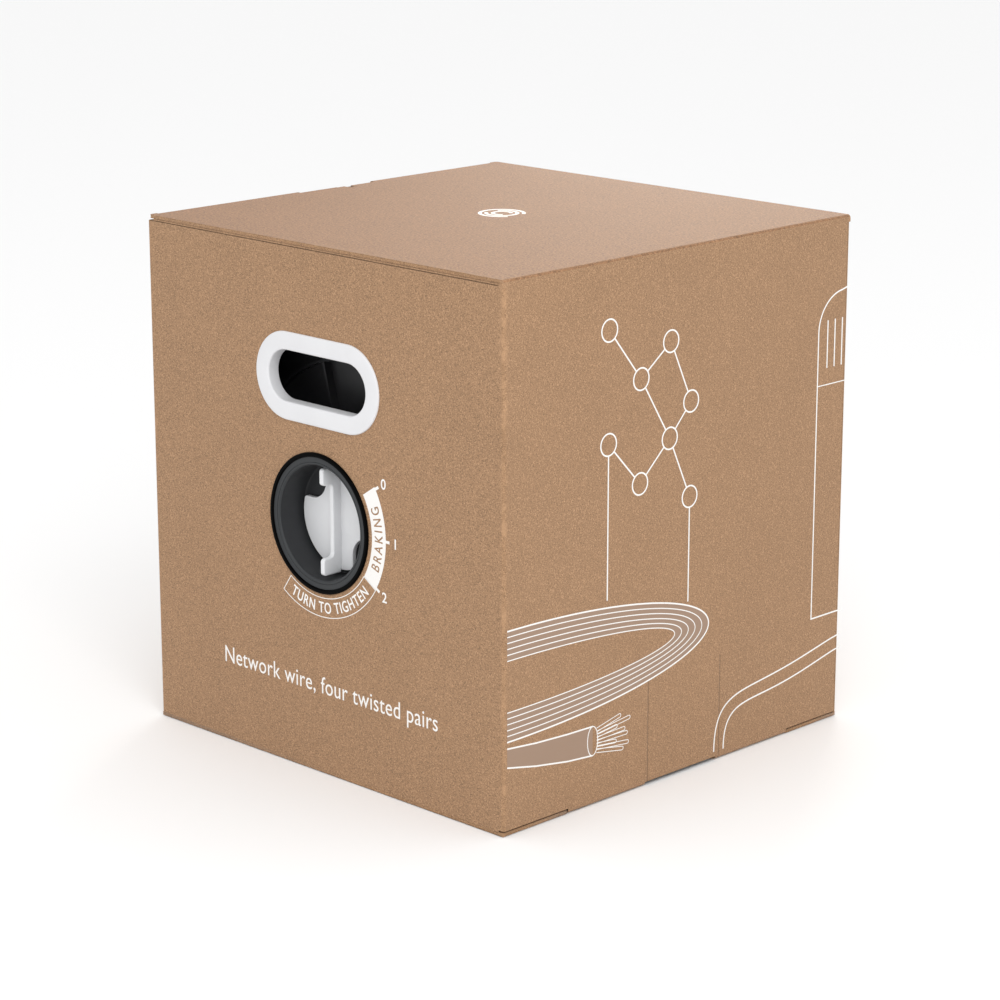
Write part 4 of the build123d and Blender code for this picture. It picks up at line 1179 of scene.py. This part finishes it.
def band_loop(inner, outer, first, last, steps=48):
    """The outline of a band of the dial between two radii and two angles."""
    return arc((0, AXIS_Z), outer, first, last, steps) + arc((0, AXIS_Z), inner, last, first, steps)


def printed(name, groups, place, material=white_ink, body="carton", shrink=0.0):
    """Flat ink shapes on a face: each group of loops is one filled shape, its inner loops left clear.

    Shapes that cross lie a few microns apart, so that no two faces share a plane.
    """
    pieces = []
    for index, loops in enumerate(groups):
        piece = slab(name, loops, INK_THICK, shrink=shrink)
        lift = index % LIFT_COUNT * LIFT_STEP
        bend(piece, lambda u, v, w: place(u, v, w + lift))
        pieces.append(piece)
    print_piece = join(name, pieces)
    recalculate(print_piece)
    print_piece.data.materials.append(material)
    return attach(print_piece, body)


# ---- Dial on the front face ----
BAND = (52 * MM, 65.5 * MM)
DIAL_SWING = 31.5
BAND_END = 33
LINE = 0.55 * MM
BOLDER = -0.13 * MM
WORD_CAP = 7.4 * MM
DIGIT_CAP = 6.8 * MM
DIGIT_RADIUS = 74.5 * MM
TICK = (BAND[1] - 0.1 * MM, 69 * MM)
scale_loops = [band_loop(*BAND, -BAND_END, BAND_END)]
scale_loops += along_arc(word_loops("BRAKING", WORD_CAP, 0.80, 0.42), BAND[1] - 3.2 * MM, 0)
dial_groups = [stroke(band_loop(*BAND, -125, -BAND_END), LINE, closed=True)]
word_groups = [along_arc(word_loops("TURN TO TIGHTEN", WORD_CAP, 0.84, 0.10), BAND[1] - 3.1 * MM, -79)]
for number, turn in ((0, DIAL_SWING), (1, 0), (2, -DIAL_SWING)):
    dial_groups.append(stroke([dial_point(radius, turn) for radius in TICK], 2.0 * MM))
    u, v = dial_point(DIGIT_RADIUS, turn)
    word_groups.append(shifted(word_loops(str(number), DIGIT_CAP), u, v - DIGIT_CAP / 2))
printed("dial_scale", [scale_loops], on_front, shrink=-BOLDER)
printed("dial_print", dial_groups, on_front)
printed("dial_words", word_groups, on_front, shrink=BOLDER)

caption = word_loops("Network wire, four twisted pairs", 11.8 * MM, 0.89, 0.04)
printed("caption_print", [shifted(caption, 6 * MM, 57.5 * MM)], on_front)

# ---- Line drawing on the right face: u from the front corner, v above the base ----
STROKE = 1.1 * MM
FINE = 0.7 * MM
HAIR = 0.5 * MM
WIRE = 2.6
side_groups = []
tint_groups = []


def draw(points, width=STROKE, closed=False):
    """Ink a line through points given in millimetres."""
    side_groups.append(stroke([(u * MM, v * MM) for u, v in points], width, closed))


def coil_turn(reach, rise, order=1):
    """One turn of the flat coil: half an ellipse that runs off the front edge."""
    turns = [radians(order * (-90 + 180 * k / 60)) for k in range(61)]
    return [(3 + reach * cos(turn), 102 + rise * sin(turn)) for turn in turns]


COIL_SIZES = [(197 - 7 * k, 37.5 - 4 * k) for k in range(6)]
for size in COIL_SIZES:
    draw(coil_turn(*size), STROKE if size == COIL_SIZES[0] else FINE)

# The cable's cut end: the jacket, then four pairs of bare wires that fan out.
JACKET_TOP = [(3, 60), (30, 57.5), (60, 56), (84, 55.5)]
JACKET_LOW = [(3, 47), (30, 41.5), (60, 37), (84, 35)]
draw(JACKET_TOP)
draw(JACKET_LOW)
for area in (coil_turn(*COIL_SIZES[0]) + coil_turn(*COIL_SIZES[-1], order=-1), JACKET_TOP + JACKET_LOW[::-1]):
    tint_groups.append([[(u * MM, v * MM) for u, v in area]])
mouth_turns = [2 * pi * k / 24 for k in range(24)]
draw([(84 + 5 * cos(turn), 45.2 + 10.3 * sin(turn)) for turn in mouth_turns], FINE, closed=True)
for k in range(8):
    root = Vector((88, 37.4 + 2.1 * k))
    tip = Vector((113 + 7 * sin(2.3 * k), 33.0 + 3.4 * k))
    along = (tip - root).normalized() * WIRE / 2
    across = Vector((-along.y, along.x))
    turns = [radians(90 - 180 * step / 8) for step in range(9)]
    rounded = [tip + across * sin(turn) + along * cos(turn) for turn in turns]
    draw([root + across, *rounded, root - across], HAIR)

# A tree of linked points above the coil.
POINTS = {
    "a": (97, 322), "b": (128, 285), "c": (157, 306), "d": (178, 262), "e": (157, 240),
    "f": (128, 214), "g": (97, 246), "h": (178, 196),
}
LINKS = ("ab", "bc", "cd", "de", "ef", "fg", "eh", "be")
POINT_RADIUS = 7.5
for point in POINTS.values():
    draw(circle(point, POINT_RADIUS, 48), closed=True)
for first, second in LINKS:
    start, end = Vector(POINTS[first]), Vector(POINTS[second])
    step = (end - start).normalized() * (POINT_RADIUS + 0.5)
    draw([start + step, end - step])
draw([(97, 238), (97, 140)])
draw([(178, 188), (178, 122)])

# Part of a large plug, cut off by the rear edge, with its lead running down to the base.
draw([(346, 318), *arc((340, 288), 28, 96, 180, 16), (312, 80), (346, 80)])
for u in (322, 330, 338):
    draw([(u, 262), (u, 296)])
draw([(312, 250), (346, 250)], FINE)
for shift in (0, 10):
    lead = []
    for k in range(41):
        t = k / 40
        sag = 20 * sin(pi * min(1, t * 1.02)) * (1 - t)
        u = 346 - (138 - shift) * sin(pi / 2 * t) ** 0.8
        lead.append((u, 62 - shift - (56 - shift) * t ** 3 - sag))
    draw(lead)
printed("side_print", side_groups, on_right)
printed("side_tint", tint_groups, lambda u, v, w: on_right(u, v, w * 0.5 - 0.25 * INK_THICK), tint_ink)

# ---- A small coil mark on the lid ----
mark_groups = []
for radius, first, last in ((15.5, 30, 330), (11, -150, 150), (6.5, 40, 320)):
    mark_groups.append(stroke(arc((-2 * MM, 5 * MM), radius * MM, first, last, 48), 2.6 * MM))
printed("lid_print", mark_groups, on_top, body="lid")

# -------- stage, light and camera
scene = bpy.context.scene
scene.view_settings.view_transform = "Standard"

FLOOR = 12.0
FLOOR_LEVEL = -0.6 * MM
floor_shade = Shade("stage_floor", roughness=0.95, gloss=0.1)
floor_shade.set("Base Color", (0.93, 0.93, 0.93, 1))
floor_corners = rectangle((-FLOOR, -FLOOR), (FLOOR, FLOOR))
floor = mesh_object("stage_floor", [(x, y, FLOOR_LEVEL) for x, y in floor_corners], [(0, 1, 2, 3)])
floor.data.materials.append(floor_shade.material)

world = bpy.data.worlds.new("studio")
world.use_nodes = True
background = world.node_tree.nodes["Background"]
background.inputs["Color"].default_value = (1, 1, 1, 1)
background.inputs["Strength"].default_value = 1.0
scene.world = world


def softbox(name, place, aim, size, power, spread=180, tint=(1, 1, 1)):
    """A square area light that faces a point, with its beam narrowed to this many degrees."""
    light = bpy.data.lights.new(name, "AREA")
    light.shape = "SQUARE"
    light.size = size
    light.energy = power
    light.spread = radians(spread)
    light.color = tint
    lamp = new_object(name, light)
    lamp.location = place
    lamp.rotation_euler = (Vector(aim) - Vector(place)).to_track_quat("-Z", "Y").to_euler()
    lamp.visible_camera = False


softbox("key", (1.78, -1.38, 1.85), (0, 0, TOP / 2), 1.4, 27)
softbox("sheen", (-0.60, 1.0, 0.66), (0.07, 0.09, TOP), 0.5, 0.72, spread=42, tint=(1.0, 0.97, 0.90))

LENS = 109.34
CAMERA_DISTANCE = 2.1655
CAMERA_TURN = radians(44.72)
CAMERA_RISE = radians(14.97)
CAMERA_AIM = (0.0008, -0.02125)
back = Vector((
    sin(CAMERA_TURN) * cos(CAMERA_RISE),
    -cos(CAMERA_TURN) * cos(CAMERA_RISE),
    sin(CAMERA_RISE),
))
right = Vector((cos(CAMERA_TURN), sin(CAMERA_TURN), 0))
up = back.cross(right)
camera_data = bpy.data.cameras.new("photo_view")
camera_data.lens = LENS
camera_data.sensor_width = 36
camera_data.clip_start = 0.05
camera = new_object("photo_view", camera_data)
BOX_MIDDLE = Vector((0, 0, 0.1837))
camera.location = BOX_MIDDLE + back * CAMERA_DISTANCE + right * CAMERA_AIM[0] + up * CAMERA_AIM[1]
camera.rotation_euler = back.to_track_quat("Z", "Y").to_euler()
scene.camera = camera
